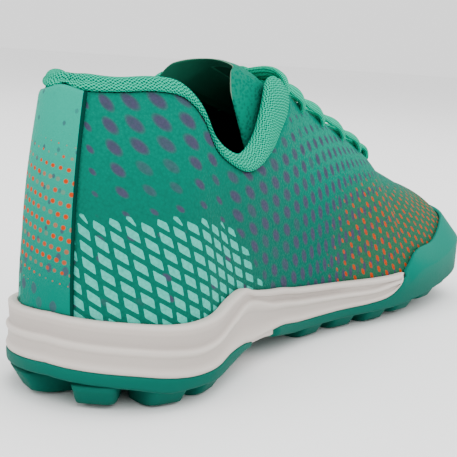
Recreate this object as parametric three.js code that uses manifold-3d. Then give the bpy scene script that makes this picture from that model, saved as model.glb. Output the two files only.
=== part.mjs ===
// Left turf football shoe: hollow upper, padded knit collar, tongue, laces, foam midsole and studded outsole.
// Millimetres, +Z up, +X to the toe, +Y to the outer side of the foot. The origin is mid footprint.
import * as THREE from "three";
import { mergeVertices } from "three/addons/utils/BufferGeometryUtils.js";
import Module from "manifold-3d";

const wasm = await Module();
wasm.setup();

// Driving dimensions
const SOLE_LENGTH = 288; // heel to toe of the sole
const BALL_WIDTH = 98; // the length that the widths in the tables are shares of
const COLLAR_HEIGHT = 106; // top of the heel tab above the floor
const INSTEP_HEIGHT = 107; // top of the lacing above the floor
const TOE_HEIGHT = 57; // crown of the toe box above the floor
const SOLE_STACK = 28; // top of the midsole's side above the floor, beside the heel
const LUG_HEIGHT = 5.6;
const LUG_LENGTH = 13;
const LUG_WIDTH = 10;
const LUG_DRAFT = 1.4; // a lug's root is this much wider than its foot, on each side
const LUG_SPLAY = 3.5; // and reaches this much further out, towards the sole's edge
const LUG_EDGE = 3.6; // from a rim lug's root to the sole's edge
const LUG_HEEL_SETBACK = 3; // extra distance of the rearmost lugs from the edge
const HEEL_LUGS = { from: 0.05, to: 0.14 }; // shares of the length over which that extra runs out
const PLATE_THICKNESS = 3;
const RUBBER_WALL = 2; // rubber that laps up the side of the midsole and round the toe
const FEATHER_INSET = 4.6; // the upper stands this far inside the sole's edge
const WALL = 2.2; // thickness of the upper
const STRIP_THICKNESS = 1; // band down the back of the heel
const STRIP_INNER = 8; // its reach from the middle line of the heel, on the arch side
const STRIP_OUTER = 16; // and on the outer side
const STRIP_LAP = 1.2; // its lower end stands this much above the midsole's rim
const COLLAR_PAD = 6; // thickness of the padded collar along its rim
const COLLAR_FRONT_PAD = 3.2; // and where it runs out beside the tongue
const COLLAR_DEPTH = 24; // how far its lining reaches down inside
const COLLAR_PUFF = 0.4; // bulge of its outer face
const LINING_EDGE = 0.8; // thickness of the lining's lower edge
const TONGUE_THICKNESS = 3.2;
const TONGUE_REACH = 9; // how far it goes under each side of the throat, beside the toe
const TONGUE_TOP_REACH = 14; // and beside the collar
const TONGUE_COLLAR_CLEAR = 2; // clearance between the tongue and the collar's lining
const INSOLE_THICKNESS = 3.6;
const INSOLE_CLEAR = 1; // clearance round the insole
const INSOLE_BEVEL = 0.8;
const LACE_WIDTH = 5.2;
const LACE_THICKNESS = 2.2;
const LACE_RISE = 2; // a strand's middle stands this much above the line between its ends
const EYELET_RADIUS = 2.1;
const EYELET_SETBACK = 6.5; // from the edge of the throat to the middle of a hole
const GAP = 0.3; // clearance between pieces that touch
const SHORT_EDGE = 0.03; // shorter edges than this, left by a cut, are closed up
const STATIONS = 36; // sections along each side, from heel to toe
const STRIP_STEPS = 8; // rows up the heel strip
const HEEL_SHARE = 0.1; // the strip lies within this share of the length
const LACE_STEPS = 8; // sections along a strand of the lace

const INNER = -1; // the arch side
const OUTER = 1;
const { smoothstep, clamp, lerp } = THREE.MathUtils;

// A table is a list of rows with named columns.
function table(columns, rows) {
  return rows.map((row) => Object.fromEntries(columns.map((name, i) => [name, row[i]])));
}

// Shares of the length are spread by an angle, so that outlines close with round ends at heel and toe.
const angleOf = (at) => Math.acos(1 - 2 * clamp(at, 0, 1));
const shareOf = (angle) => (1 - Math.cos(angle)) / 2;

// Smooth curve through one column of a table, with tangents from the neighbouring rows.
function column(rows, name, at) {
  const x = angleOf(at);
  let i = 0;
  while (i < rows.length - 2 && x > angleOf(rows[i + 1].at)) i++;
  const slope = (k) => {
    const before = rows[Math.max(k - 1, 0)];
    const after = rows[Math.min(k + 1, rows.length - 1)];
    return (after[name] - before[name]) / (angleOf(after.at) - angleOf(before.at));
  };
  const [a, b] = [rows[i], rows[i + 1]];
  const step = angleOf(b.at) - angleOf(a.at);
  const t = clamp((x - angleOf(a.at)) / step, 0, 1);
  const u = 1 - t;
  const bend = step * t * u * (slope(i) * u - slope(i + 1) * t);
  return lerp(a[name], b[name], t * t * (3 - 2 * t)) + bend;
}

// Half widths of the sole, as shares of BALL_WIDTH, on the arch side and on the outer side.
const OUTLINE = table(
  ["at", "inner", "outer"],
  [
    [0, 0, 0],
    [0.021, 0.195, 0.205],
    [0.076, 0.345, 0.345],
    [0.14, 0.388, 0.376],
    [0.2, 0.366, 0.384],
    [0.28, 0.325, 0.39],
    [0.4, 0.297, 0.41],
    [0.52, 0.33, 0.464],
    [0.625, 0.404, 0.512],
    [0.712, 0.452, 0.524],
    [0.816, 0.466, 0.465],
    [0.91, 0.43, 0.325],
    [0.972, 0.275, 0.155],
    [1, 0.04, -0.04],
  ],
);

// Heights of the sole, as shares of SOLE_STACK. lift: how far the lugs stand off the floor. seam: top of the
// rubber at the side. rim: top of the midsole's side. bed: its floor inside. crease: the raised line on it.
const LEVELS = table(
  ["at", "lift", "seam", "rim", "bed", "crease"],
  [
    [0, 0.16, 0.53, 1.11, 0.7, 0.82],
    [0.04, 0.08, 0.46, 1.05, 0.64, 0.75],
    [0.08, 0, 0.4, 1.01, 0.62, 0.7],
    [0.12, 0, 0.37, 1, 0.62, 0.67],
    [0.16, 0, 0.39, 1.04, 0.62, 0.72],
    [0.2, 0.06, 0.46, 1.14, 0.62, 0.84],
    [0.24, 0.12, 0.46, 1.18, 0.61, 0.95],
    [0.27, 0.12, 0.42, 1.1, 0.6, 0.93],
    [0.33, 0.1, 0.42, 0.99, 0.56, 0.78],
    [0.37, 0.05, 0.42, 0.94, 0.54, 0.72],
    [0.42, 0, 0.37, 0.86, 0.52, 0.65],
    [0.52, 0, 0.36, 0.78, 0.49, 0.58],
    [0.6, 0, 0.37, 0.74, 0.47, 0.55],
    [0.65, 0, 0.45, 0.73, 0.47, 0.6],
    [0.69, 0.03, 0.74, 0.72, 0.47, 0.62],
    [0.73, 0.07, 1.02, 0.49, 0.48, 0.48],
    [0.8, 0.14, 1.1, 0.53, 0.53, 0.52],
    [0.88, 0.24, 1.34, 0.62, 0.62, 0.61],
    [0.95, 0.36, 1.45, 0.73, 0.73, 0.72],
    [1, 0.46, 1.5, 0.84, 0.84, 0.83],
  ],
);

// Sections of the upper. at: foot of the section along the sole. topAt: its upper end along the sole.
// ridge, half: the middle line and the half opening there, as shares of BALL_WIDTH. top: its height, as a
// share of the size in of. flare, rise: how the wall leaves the sole. out, drop: how it arrives at the top.
// seam: share of the section that is the printed upper, below the knit collar.
const TOPS = { collar: COLLAR_HEIGHT, instep: INSTEP_HEIGHT, toe: TOE_HEIGHT };
const SECTIONS = table(
  ["at", "topAt", "ridge", "half", "top", "of", "flare", "rise", "out", "drop", "seam"],
  [
    [0, 0.022, 0, 0, 1, "collar", 0.03, 0.36, 0.05, 0.3, 0.93],
    [0.02, 0.028, 0, 0.075, 0.998, "collar", 0.028, 0.36, 0.05, 0.3, 0.93],
    [0.06, 0.05, 0, 0.15, 0.992, "collar", 0.024, 0.36, 0.045, 0.3, 0.94],
    [0.11, 0.083, 0, 0.225, 0.998, "collar", 0.02, 0.36, 0.04, 0.3, 0.94],
    [0.15, 0.113, 0, 0.268, 0.985, "collar", 0.02, 0.36, 0.04, 0.3, 0.935],
    [0.19, 0.143, 0, 0.29, 0.925, "collar", 0.02, 0.36, 0.03, 0.3, 0.93],
    [0.225, 0.168, 0, 0.307, 0.825, "collar", 0.022, 0.36, 0.02, 0.3, 0.92],
    [0.26, 0.2, -0.002, 0.32, 0.768, "collar", 0.024, 0.36, 0.02, 0.28, 0.91],
    [0.29, 0.232, -0.004, 0.324, 0.755, "collar", 0.028, 0.36, 0.03, 0.26, 0.88],
    [0.315, 0.26, -0.008, 0.314, 0.805, "collar", 0.032, 0.36, 0.05, 0.22, 0.815],
    [0.34, 0.284, -0.013, 0.29, 0.905, "collar", 0.036, 0.36, 0.075, 0.18, 0.72],
    [0.365, 0.308, -0.018, 0.255, 0.977, "instep", 0.038, 0.36, 0.1, 0.14, 0.695],
    [0.39, 0.336, -0.022, 0.218, 0.995, "instep", 0.038, 0.36, 0.11, 0.12, 0.73],
    [0.41, 0.36, -0.026, 0.195, 0.975, "instep", 0.036, 0.36, 0.115, 0.115, 0.83],
    [0.425, 0.379, -0.029, 0.18, 0.953, "instep", 0.034, 0.36, 0.118, 0.112, 1],
    [0.45, 0.412, -0.033, 0.162, 0.918, "instep", 0.031, 0.37, 0.12, 0.11, 1],
    [0.5, 0.474, -0.042, 0.148, 0.86, "instep", 0.026, 0.38, 0.125, 0.1, 1],
    [0.58, 0.567, -0.056, 0.135, 0.77, "instep", 0.018, 0.4, 0.13, 0.08, 1],
    [0.64, 0.637, -0.066, 0.11, 0.705, "instep", 0.014, 0.42, 0.14, 0.06, 1],
    [0.68, 0.678, -0.07, 0.06, 0.665, "instep", 0.012, 0.43, 0.16, 0.04, 1],
    [0.7, 0.688, -0.071, 0, 1.235, "toe", 0.012, 0.44, 0.18, 0.03, 1],
    [0.75, 0.735, -0.07, 0, 1.15, "toe", 0.01, 0.46, 0.2, 0.03, 1],
    [0.8, 0.778, -0.066, 0, 1.085, "toe", 0.008, 0.48, 0.2, 0.04, 1],
    [0.85, 0.812, -0.062, 0, 1.03, "toe", 0.006, 0.5, 0.2, 0.06, 1],
    [0.91, 0.833, -0.058, 0, 1, "toe", 0.004, 0.52, 0.22, 0.1, 1],
    [1, 0.833, -0.058, 0, 1, "toe", 0, 0.54, 0.26, 0.2, 1],
  ],
).map((row) => ({ ...row, top: row.top * TOPS[row.of] }));
const COLLAR_END = 0.425; // section where the knit collar runs out on the edge of the throat
const THROAT_END = 0.7; // section where the two sides meet on the ridge

// The tongue's free end. across: from the arch side to the outer side. x, y, z: shares of SOLE_LENGTH,
// BALL_WIDTH and INSTEP_HEIGHT.
const TONGUE_END = table(
  ["across", "x", "y", "z"],
  [
    [-1, 0.24, -0.205, 1.0],
    [-0.5, 0.277, -0.185, 1.025],
    [0, 0.312, -0.03, 1.045],
    [0.5, 0.322, 0.13, 1.035],
    [1, 0.302, 0.205, 1],
  ],
);
const TONGUE_FROM = 0.69; // section under the vamp where the tongue is sewn in
const TONGUE_LEAVES = 0.39; // section where its free end leaves the throat
const TONGUE_SWEEP = 0.07; // its sides stand this much further back there, round the ankle

// Rows of lugs. at: place along the sole. rim: 1 where a pair stands along the edges. middle: how many stand
// between them.
const LUGS = table(
  ["at", "rim", "middle"],
  [
    [0.015, 1, 0],
    [0.085, 1, 1],
    [0.168, 1, 2],
    [0.24, 1, 1],
    [0.475, 1, 1],
    [0.55, 1, 2],
    [0.625, 1, 3],
    [0.7, 1, 2],
    [0.785, 1, 3],
    [0.865, 1, 2],
    [0.935, 1, 1],
  ],
);

const EYELETS = [0.368, 0.424, 0.487, 0.553, 0.616, 0.662]; // places of the holes along the throat's edge

const level = (name, at) => column(LEVELS, name, at) * SOLE_STACK;
const lift = (at) => Math.max(level("lift", at), 0);
const rootHeight = (at) => LUG_HEIGHT + lift(at);
const plateTop = (at) => rootHeight(at) + PLATE_THICKNESS;

// Point of the sole's outline in plan, on one side, at a share of the length.
function outlinePoint(side, at) {
  const half = column(OUTLINE, side === INNER ? "inner" : "outer", at);
  return new THREE.Vector2(at * SOLE_LENGTH, side * half * BALL_WIDTH);
}

// Outward direction of the outline in plan, from two points a little apart. Past an end it turns onto the
// other side.
function outlineNormal(side, at) {
  const nudge = 0.02;
  const near = (angle) => outlinePoint(angle < 0 || angle > Math.PI ? -side : side, shareOf(angle));
  const along = near(angleOf(at) + nudge).sub(near(angleOf(at) - nudge)).normalize();
  return new THREE.Vector2(-along.y * side, along.x * side);
}

// The outline moved inwards by a length, at a height.
function insetPoint(side, at, inset, z) {
  const p = outlinePoint(side, at).addScaledVector(outlineNormal(side, at), -inset);
  return new THREE.Vector3(p.x, p.y, z);
}

// Middle line of the sole, where the two halves of a floor meet, at the height that a function gives.
function middlePoint(at, heightAt) {
  const margin = (FEATHER_INSET * 2.4) / SOLE_LENGTH;
  const share = clamp(at, margin, 1 - margin);
  const y = (outlinePoint(INNER, share).y + outlinePoint(OUTER, share).y) / 2;
  return new THREE.Vector3(share * SOLE_LENGTH, y, heightAt(share));
}

// One section of the last's outer surface: a cubic Bezier from the sole's feather line to the top edge.
const sectionCache = new Map();
function section(side, at) {
  const key = side * (at + 1);
  if (sectionCache.has(key)) return sectionCache.get(key);
  const get = (name) => column(SECTIONS, name, at);
  const n = outlineNormal(side, at);
  const foot = insetPoint(side, at, FEATHER_INSET, level("bed", at) + GAP);
  const half = at >= THROAT_END ? 0 : Math.max(get("half"), 0);
  const topY = (get("ridge") + side * half) * BALL_WIDTH;
  const top = new THREE.Vector3(get("topAt") * SOLE_LENGTH, topY, get("top"));
  const height = top.z - foot.z;
  const edge = outlinePoint(side, at);
  const away = new THREE.Vector2(edge.x - top.x, edge.y - top.y).normalize();
  const knee = new THREE.Vector3(n.x, n.y, 0).multiplyScalar(get("flare") * BALL_WIDTH).add(foot);
  knee.z += get("rise") * height;
  const shoulder = new THREE.Vector3(away.x, away.y, 0).multiplyScalar(get("out") * BALL_WIDTH).add(top);
  shoulder.z -= get("drop") * height;
  const curve = new THREE.CubicBezierCurve3(foot, knee, shoulder, top);
  const made = { curve, length: curve.getLength() };
  sectionCache.set(key, made);
  return made;
}
const lastPoint = (side, at, v) => section(side, at).curve.getPoint(v);

// Outward direction of the last's surface.
function lastNormal(side, at, v) {
  const nudge = 0.012;
  const x = clamp(angleOf(at), nudge, Math.PI - nudge);
  const low = clamp(v, 0, 1 - nudge);
  const here = shareOf(x);
  const up = lastPoint(side, here, low + nudge).sub(lastPoint(side, here, low));
  const along = lastPoint(side, shareOf(x + nudge), low).sub(lastPoint(side, shareOf(x - nudge), low));
  return side === INNER ? along.cross(up).normalize() : up.cross(along).normalize();
}

// A point at a depth under the last's surface. Where the two sides meet, both use the same direction.
function shellPoint(side, at, v, depth) {
  const n = lastNormal(side, at, v);
  const shared = (at >= THROAT_END && v >= 1) || at <= 0 || at >= 1;
  if (shared) n.add(lastNormal(-side, at, v)).normalize();
  if (v <= 0) n.setZ(0).normalize();
  return lastPoint(side, at, v).addScaledVector(n, -depth);
}

// The share at which a section of the last reaches a height.
function shareAtHeight(side, at, z) {
  let [low, high] = [0, 1];
  for (let i = 0; i < 20; i++) {
    const middle = (low + high) / 2;
    if (lastPoint(side, at, middle).z < z) low = middle;
    else high = middle;
  }
  return low;
}

// Shares of the length for the sections: evenly spread by angle, with a section on each of the fixed places.
const COLLAR_TIP = COLLAR_END - 0.008; // last section of the collar's own body
const FIXED_SHARES = [COLLAR_TIP, COLLAR_END, THROAT_END];
const SHARES = Array.from({ length: STATIONS + 1 }, (_, i) => shareOf((Math.PI * i) / STATIONS))
  .filter((share) => FIXED_SHARES.every((fixed) => Math.abs(share - fixed) > 0.012))
  .concat(FIXED_SHARES)
  .sort((a, b) => a - b);

// Collects the faces of one closed skin.
class Skin {
  constructor() {
    this.corners = [];
  }
  quad(a, b, c, d) {
    this.corners.push(a, b, c, a, c, d);
  }
  // Faces between two rows of points, leaving out the spans that skip names.
  span(first, second, skip = () => false) {
    for (let i = 0; i + 1 < first.length; i++) {
      if (!skip(i)) this.quad(first[i], second[i], second[i + 1], first[i + 1]);
    }
  }
  // A lid over a closed loop, fanned from its first point or from the middle.
  lid(loop) {
    const sum = loop.slice(1).reduce((total, p) => total.add(p), new THREE.Vector3());
    const middle = sum.divideScalar(loop.length - 1);
    for (let i = 0; i + 1 < loop.length; i++) this.corners.push(middle, loop[i], loop[i + 1]);
  }
  solid() {
    const geometry = new THREE.BufferGeometry().setFromPoints(this.corners);
    return solidFrom(geometry);
  }
}

// A three.js geometry as a solid: shared corners merged, collapsed faces left out, and turned to face out.
function solidFrom(geometry) {
  const bare = geometry.clone();
  bare.deleteAttribute("normal");
  bare.deleteAttribute("uv");
  const merged = mergeVertices(bare, 1e-4);
  const corners = merged.attributes.position;
  const index = merged.index.array;
  const at = (i) => new THREE.Vector3().fromBufferAttribute(corners, i);
  const kept = [];
  let volume = 0;
  for (let i = 0; i < index.length; i += 3) {
    const [a, b, c] = [index[i], index[i + 1], index[i + 2]];
    if (a === b || b === c || a === c) continue;
    kept.push([a, b, c]);
    volume += at(a).dot(at(b).cross(at(c)));
  }
  const faces = volume < 0 ? kept.map(([a, b, c]) => [a, c, b]) : kept;
  const vertProperties = new Float32Array(corners.array);
  const triVerts = new Uint32Array(faces.flat());
  return new wasm.Manifold(new wasm.Mesh({ numProp: 3, vertProperties, triVerts }));
}

function geometryFrom(solid) {
  const mesh = solid.getMesh();
  const geometry = new THREE.BufferGeometry();
  geometry.setAttribute("position", new THREE.BufferAttribute(mesh.vertProperties, 3));
  geometry.setIndex(new THREE.BufferAttribute(mesh.triVerts, 1));
  geometry.computeVertexNormals();
  return geometry;
}

// A body of sections round the perimeter, along the arch side and the outer side. profile(side, at) gives one
// section, and skip(at, next, i) leaves out a span that would lie inside.
function ringBody(profile, skip = () => false) {
  const skin = new Skin();
  for (let i = 0; i + 1 < SHARES.length; i++) {
    const [at, next] = [SHARES[i], SHARES[i + 1]];
    skin.span(profile(OUTER, at), profile(OUTER, next), (k) => skip(at, next, k));
    skin.span(profile(INNER, next), profile(INNER, at), (k) => skip(at, next, k));
  }
  return skin.solid();
}

// A closed body between two sheets of points of the same size.
function slab(face, back) {
  const skin = new Skin();
  const last = face.length - 1;
  for (let i = 0; i < last; i++) {
    skin.span(face[i], face[i + 1]);
    skin.span(back[i + 1], back[i]);
    skin.quad(face[i + 1][0], face[i][0], back[i][0], back[i + 1][0]);
    skin.quad(face[i].at(-1), face[i + 1].at(-1), back[i + 1].at(-1), back[i].at(-1));
  }
  skin.span(back[0], face[0]);
  skin.span(face[last], back[last]);
  return skin.solid();
}

// Outsole

// Where the rubber leaves the arch's edge bare.
const NOTCH = { from: 0.285, to: 0.335, slope: 0.02, depth: 9 };

function notchInset(side, at) {
  if (side === OUTER) return 0;
  const fall = 1 - smoothstep(at, NOTCH.to, NOTCH.to + NOTCH.slope);
  return NOTCH.depth * Math.min(smoothstep(at, NOTCH.from - NOTCH.slope, NOTCH.from), fall);
}

const WALL_BATTER = 0.3; // how far the rubber's side leans in at half height
const LIP_SETBACK = 0.5; // and at its top
const SHOULDER_SHARE = 0.55; // place of that half height between plate and top
const PLATE_CORNER = [2.6, 0.6]; // insets of the plate's bevelled lower corner
const PLATE_BEVEL = 1; // and its height
const GUARD_BOW = 2; // extra clearance behind the toe guard, in gaps, half way up

// The rubber: plate, side wall and toe guard. grow swells it on every face, for the midsole's clearance.
function rubberProfile(side, at, grow) {
  const pull = notchInset(side, at);
  const bed = plateTop(at);
  const seam = level("seam", at);
  const rim = level("rim", at);
  const wrapped = seam > rim;
  const ledge = wrapped ? Math.max(rim + GAP * 2, bed + 1) : seam;
  const inside = insetPoint(side, at, pull + RUBBER_WALL + grow, 0);
  const low = (z) => new THREE.Vector3(inside.x, inside.y, z);
  const against = (z, depth) => shellPoint(side, at, shareAtHeight(side, at, z), -depth);
  const inner = (share) => {
    const clear = GAP * (1 + GUARD_BOW * share * (1 - share));
    return against(lerp(seam + grow, ledge - grow, share), clear - grow);
  };
  const guard = GAP + RUBBER_WALL + grow;
  const top = seam + grow;
  const lip = wrapped ? against(top, guard) : insetPoint(side, at, pull + LIP_SETBACK - grow, top);
  return [
    middlePoint(at, (share) => rootHeight(share) - grow),
    insetPoint(side, at, pull + PLATE_CORNER[0], rootHeight(at) - grow),
    insetPoint(side, at, pull + PLATE_CORNER[1] - grow, rootHeight(at) + PLATE_BEVEL - grow),
    insetPoint(side, at, pull + WALL_BATTER - grow, lerp(bed, seam, SHOULDER_SHARE)),
    lip,
    ...[0, 0.35, 0.7].map((share) => (wrapped ? inner(share) : low(seam + grow))),
    wrapped ? inner(1) : low(seam - grow),
    wrapped ? low(ledge - grow) : low(seam - grow),
    low(bed + grow),
    middlePoint(at, (share) => plateTop(share) + grow),
  ];
}

// A lug: a block with drafted sides and a flat foot, its root sunk into the plate.
function lug(place, along, splay) {
  const at = place.x / SOLE_LENGTH;
  const foot = lift(at);
  const root = rootHeight(at) + 1;
  const across = new THREE.Vector2(-along.y, along.x);
  const ring = (grow, shift, z) => {
    const loop = [
      [-1, -1],
      [1, -1],
      [1, 1],
      [-1, 1],
      [-1, -1],
    ];
    return loop.map(([a, b]) => {
      const p = place.clone().addScaledVector(along, a * (LUG_LENGTH / 2 + grow));
      p.addScaledVector(across, b * (LUG_WIDTH / 2 + grow) + shift);
      return new THREE.Vector3(p.x, p.y, z);
    });
  };
  const skin = new Skin();
  const low = ring(0, 0, foot);
  const high = ring(LUG_DRAFT, splay, root);
  skin.span(low, high);
  skin.quad(low[0], low[1], low[2], low[3]);
  skin.quad(high[3], high[2], high[1], high[0]);
  return skin.solid();
}

function lugRow({ at, rim, middle }) {
  const heel = 1 - smoothstep(at, HEEL_LUGS.from, HEEL_LUGS.to);
  const inset = LUG_WIDTH / 2 + LUG_DRAFT + LUG_SPLAY + LUG_EDGE + LUG_HEEL_SETBACK * heel;
  const ends = [INNER, OUTER].map((side) => {
    const p = insetPoint(side, at, inset + notchInset(side, at), 0);
    return new THREE.Vector2(p.x, p.y);
  });
  const made = [];
  for (const [i, side] of [INNER, OUTER].entries()) {
    const n = outlineNormal(side, at);
    if (rim) made.push(lug(ends[i], new THREE.Vector2(n.y, -n.x), LUG_SPLAY));
  }
  for (let k = 1; k <= middle; k++) {
    made.push(lug(ends[0].clone().lerp(ends[1], k / (middle + 1)), new THREE.Vector2(1, 0), 0));
  }
  return made;
}

const join = (solids) => solids.reduce((whole, solid) => whole.add(solid));
const clean = (solid) => solid.simplify(SHORT_EDGE);
const plate = ringBody((side, at) => rubberProfile(side, at, 0));
const outsole = clean(join([plate, ...LUGS.flatMap(lugRow)]));

// Midsole: a foam cup round the foot of the upper, with a raised crease along its side.

// How far its points stand in from the sole's edge, and the heights that its profile steps by.
const FOAM = {
  lift: 0.4,
  bevel: 1,
  ledge: 0.6,
  fade: 5,
  covered: 0.5,
  sole: 3.6,
  behindRubber: 1.5,
  lip: 0.4,
  lowerHollow: 1.2,
  crease: 0.5,
  upperHollow: 1.5,
  rim: 1,
  top: 1.7,
};

function foamProfile(side, at) {
  const rim = level("rim", at);
  const seam = level("seam", at);
  const crease = clamp(level("crease", at), seam + 1, Math.max(rim - 1, seam + 1));
  const base = rootHeight(at) + FOAM.lift;
  const covered = smoothstep(seam - rim, -FOAM.fade, -FOAM.covered);
  const behind = RUBBER_WALL + GAP * 4;
  const outside = (inset, z) => insetPoint(side, at, lerp(inset, behind, covered), Math.min(z, rim));
  const bed = level("bed", at);
  const corner = insetPoint(side, at, FEATHER_INSET - GAP, bed);
  const inside = (z) => (z > bed + GAP ? shellPoint(side, at, shareAtHeight(side, at, z), -GAP) : corner);
  return [
    middlePoint(at, (share) => rootHeight(share) + FOAM.lift),
    outside(FOAM.sole, base),
    outside(FOAM.behindRubber, base + FOAM.bevel),
    outside(FOAM.behindRubber, seam - FOAM.ledge),
    outside(FOAM.lip, seam + GAP),
    outside(FOAM.lowerHollow, lerp(seam, crease, 0.6)),
    outside(FOAM.crease, crease),
    outside(FOAM.upperHollow, lerp(crease, rim, 0.45)),
    outside(FOAM.rim, lerp(crease, rim, 0.75)),
    outside(FOAM.top, rim),
    inside(rim),
    inside(Math.min(bed + GAP * 2, rim)),
    corner,
    middlePoint(at, (share) => level("bed", share)),
  ];
}

const rubberClearance = ringBody((side, at) => rubberProfile(side, at, GAP * 1.5));
const midsole = clean(ringBody(foamProfile).subtract(rubberClearance));

// Insole

function insoleProfile(side, at) {
  const inset = FEATHER_INSET + WALL + INSOLE_CLEAR;
  const low = level("bed", at) + GAP;
  return [
    middlePoint(at, (share) => level("bed", share) + GAP),
    insetPoint(side, at, inset, low),
    insetPoint(side, at, inset + INSOLE_BEVEL, low + INSOLE_THICKNESS),
    middlePoint(at, (share) => level("bed", share) + GAP + INSOLE_THICKNESS),
  ];
}
const insole = ringBody(insoleProfile);

// Upper: one hollow shell from the feather line to the collar's seam and the edge of the throat.

const FACE_STEPS = [0, 0.1, 0.22, 0.35, 0.48, 0.61, 0.73, 0.84, 0.93, 1];
const LINING_STEPS = [1, 0.9, 0.75, 0.5, 0.24, 0];
const seamShare = (at) => (at >= COLLAR_END ? 1 : Math.min(column(SECTIONS, "seam", at), 1));

function upperProfile(side, at) {
  const top = seamShare(at);
  const face = FACE_STEPS.map((step) => shellPoint(side, at, step * top, 0));
  const lining = LINING_STEPS.map((step) => shellPoint(side, at, step * top, WALL));
  return [...face, ...lining, face[0]];
}
const onRidge = (at, next, i) => i === FACE_STEPS.length - 1 && at >= THROAT_END && next >= THROAT_END;

// The section whose top lies at a share of the length, found along the edge of the throat.
function sectionAtTop(share) {
  let [low, high] = [COLLAR_END - 0.06, THROAT_END];
  for (let i = 0; i < 24; i++) {
    const middle = (low + high) / 2;
    if (column(SECTIONS, "topAt", middle) < share) low = middle;
    else high = middle;
  }
  return low;
}

function eyelet(side, share) {
  const at = sectionAtTop(share);
  const v = 1 - EYELET_SETBACK / section(side, at).length;
  return { side, at, v, normal: lastNormal(side, at, v), centre: lastPoint(side, at, v) };
}

function eyeletPunch({ centre, normal }) {
  const depth = WALL * 4;
  const punch = new THREE.CylinderGeometry(EYELET_RADIUS, EYELET_RADIUS, depth, 8);
  punch.applyQuaternion(new THREE.Quaternion().setFromUnitVectors(new THREE.Vector3(0, 1, 0), normal));
  punch.translate(centre.x, centre.y, centre.z);
  return solidFrom(punch);
}

const eyelets = [INNER, OUTER].flatMap((side) => EYELETS.map((share) => eyelet(side, share)));
const upper = clean(ringBody(upperProfile, onRidge).subtract(join(eyelets.map(eyeletPunch))));

// Heel strip: a thin band over the back of the upper, cut from the upper's own surface between two heights.

function heelStripPoint(across, v, depth) {
  const side = across < 0 ? INNER : OUTER;
  const reach = Math.abs(across) * (across < 0 ? STRIP_INNER : STRIP_OUTER);
  let [low, high] = [0, angleOf(HEEL_SHARE)];
  for (let i = 0; i < 20; i++) {
    const middle = (low + high) / 2;
    if (Math.abs(lastPoint(side, shareOf(middle), v).y) < reach) low = middle;
    else high = middle;
  }
  return shellPoint(side, across === 0 ? 0 : shareOf(low), v, depth);
}

function heelStripSheet(depth) {
  const low = shareAtHeight(INNER, 0, level("rim", 0) + STRIP_LAP);
  const high = seamShare(0) - GAP / section(INNER, 0).length;
  const columns = [-1, -0.66, -0.33, 0, 0.25, 0.5, 0.75, 1];
  const rows = Array.from({ length: STRIP_STEPS + 1 }, (_, i) => lerp(low, high, i / STRIP_STEPS));
  return columns.map((across) => rows.map((v) => heelStripPoint(across, v, depth)));
}
const heelStrip = slab(heelStripSheet(-GAP - STRIP_THICKNESS), heelStripSheet(-GAP));

// Collar: a padded knit roll that stands on the upper's top edge and reaches down inside as a lining.

const COLLAR_SHARES = SHARES.filter((share) => share <= COLLAR_TIP);

const collarPad = (at) => lerp(COLLAR_PAD, COLLAR_FRONT_PAD, smoothstep(at, 0.27, 0.35));

function collarProfile(side, at) {
  const { length } = section(side, at);
  const pad = collarPad(at);
  const roll = pad * 0.42;
  const low = seamShare(at) + GAP / length;
  const high = Math.max(1 - roll / length, low + 0.002);
  const end = Math.min(1 - COLLAR_DEPTH / length, seamShare(at) - 0.05);
  const up = section(side, at).curve.getTangent(high);
  const over = (turn) => {
    const depth = (pad * (1 - Math.cos(turn))) / 2;
    return shellPoint(side, at, high, depth).addScaledVector(up, roll * Math.sin(turn));
  };
  const lining = (share, depth) => shellPoint(side, at, lerp(high, end, share), depth);
  const back = WALL + GAP * 2.5;
  const loop = [
    shellPoint(side, at, low, 0),
    shellPoint(side, at, lerp(low, high, 0.5), -COLLAR_PUFF),
    ...[0, 0.7, 1.57, 2.44, Math.PI].map(over),
    lining(0.3, lerp(pad, back + LINING_EDGE, 0.15)),
    lining(0.65, lerp(pad, back + LINING_EDGE, 0.6)),
    lining(1, back + LINING_EDGE),
    shellPoint(side, at, end, back),
    shellPoint(side, at, low, back),
  ];
  return [...loop, loop[0]];
}

function collarBody() {
  const skin = new Skin();
  for (let i = 0; i + 1 < COLLAR_SHARES.length; i++) {
    const [at, next] = [COLLAR_SHARES[i], COLLAR_SHARES[i + 1]];
    skin.span(collarProfile(OUTER, at), collarProfile(OUTER, next));
    skin.span(collarProfile(INNER, next), collarProfile(INNER, at));
  }
  const end = COLLAR_SHARES.at(-1);
  skin.lid(collarProfile(OUTER, end).reverse());
  skin.lid(collarProfile(INNER, end));
  return skin.solid();
}
const collar = collarBody();

// Tongue: an arched pad under the edges of the throat, whose free end stands up between the collar's ends.

const TONGUE_COLUMNS = [-1, -0.75, -0.5, -0.25, 0, 0.25, 0.5, 0.75, 1];
const TONGUE_ROWS = 13; // rows of points along the throat
const TONGUE_FREE_ROWS = 4; // and along the free end

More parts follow.
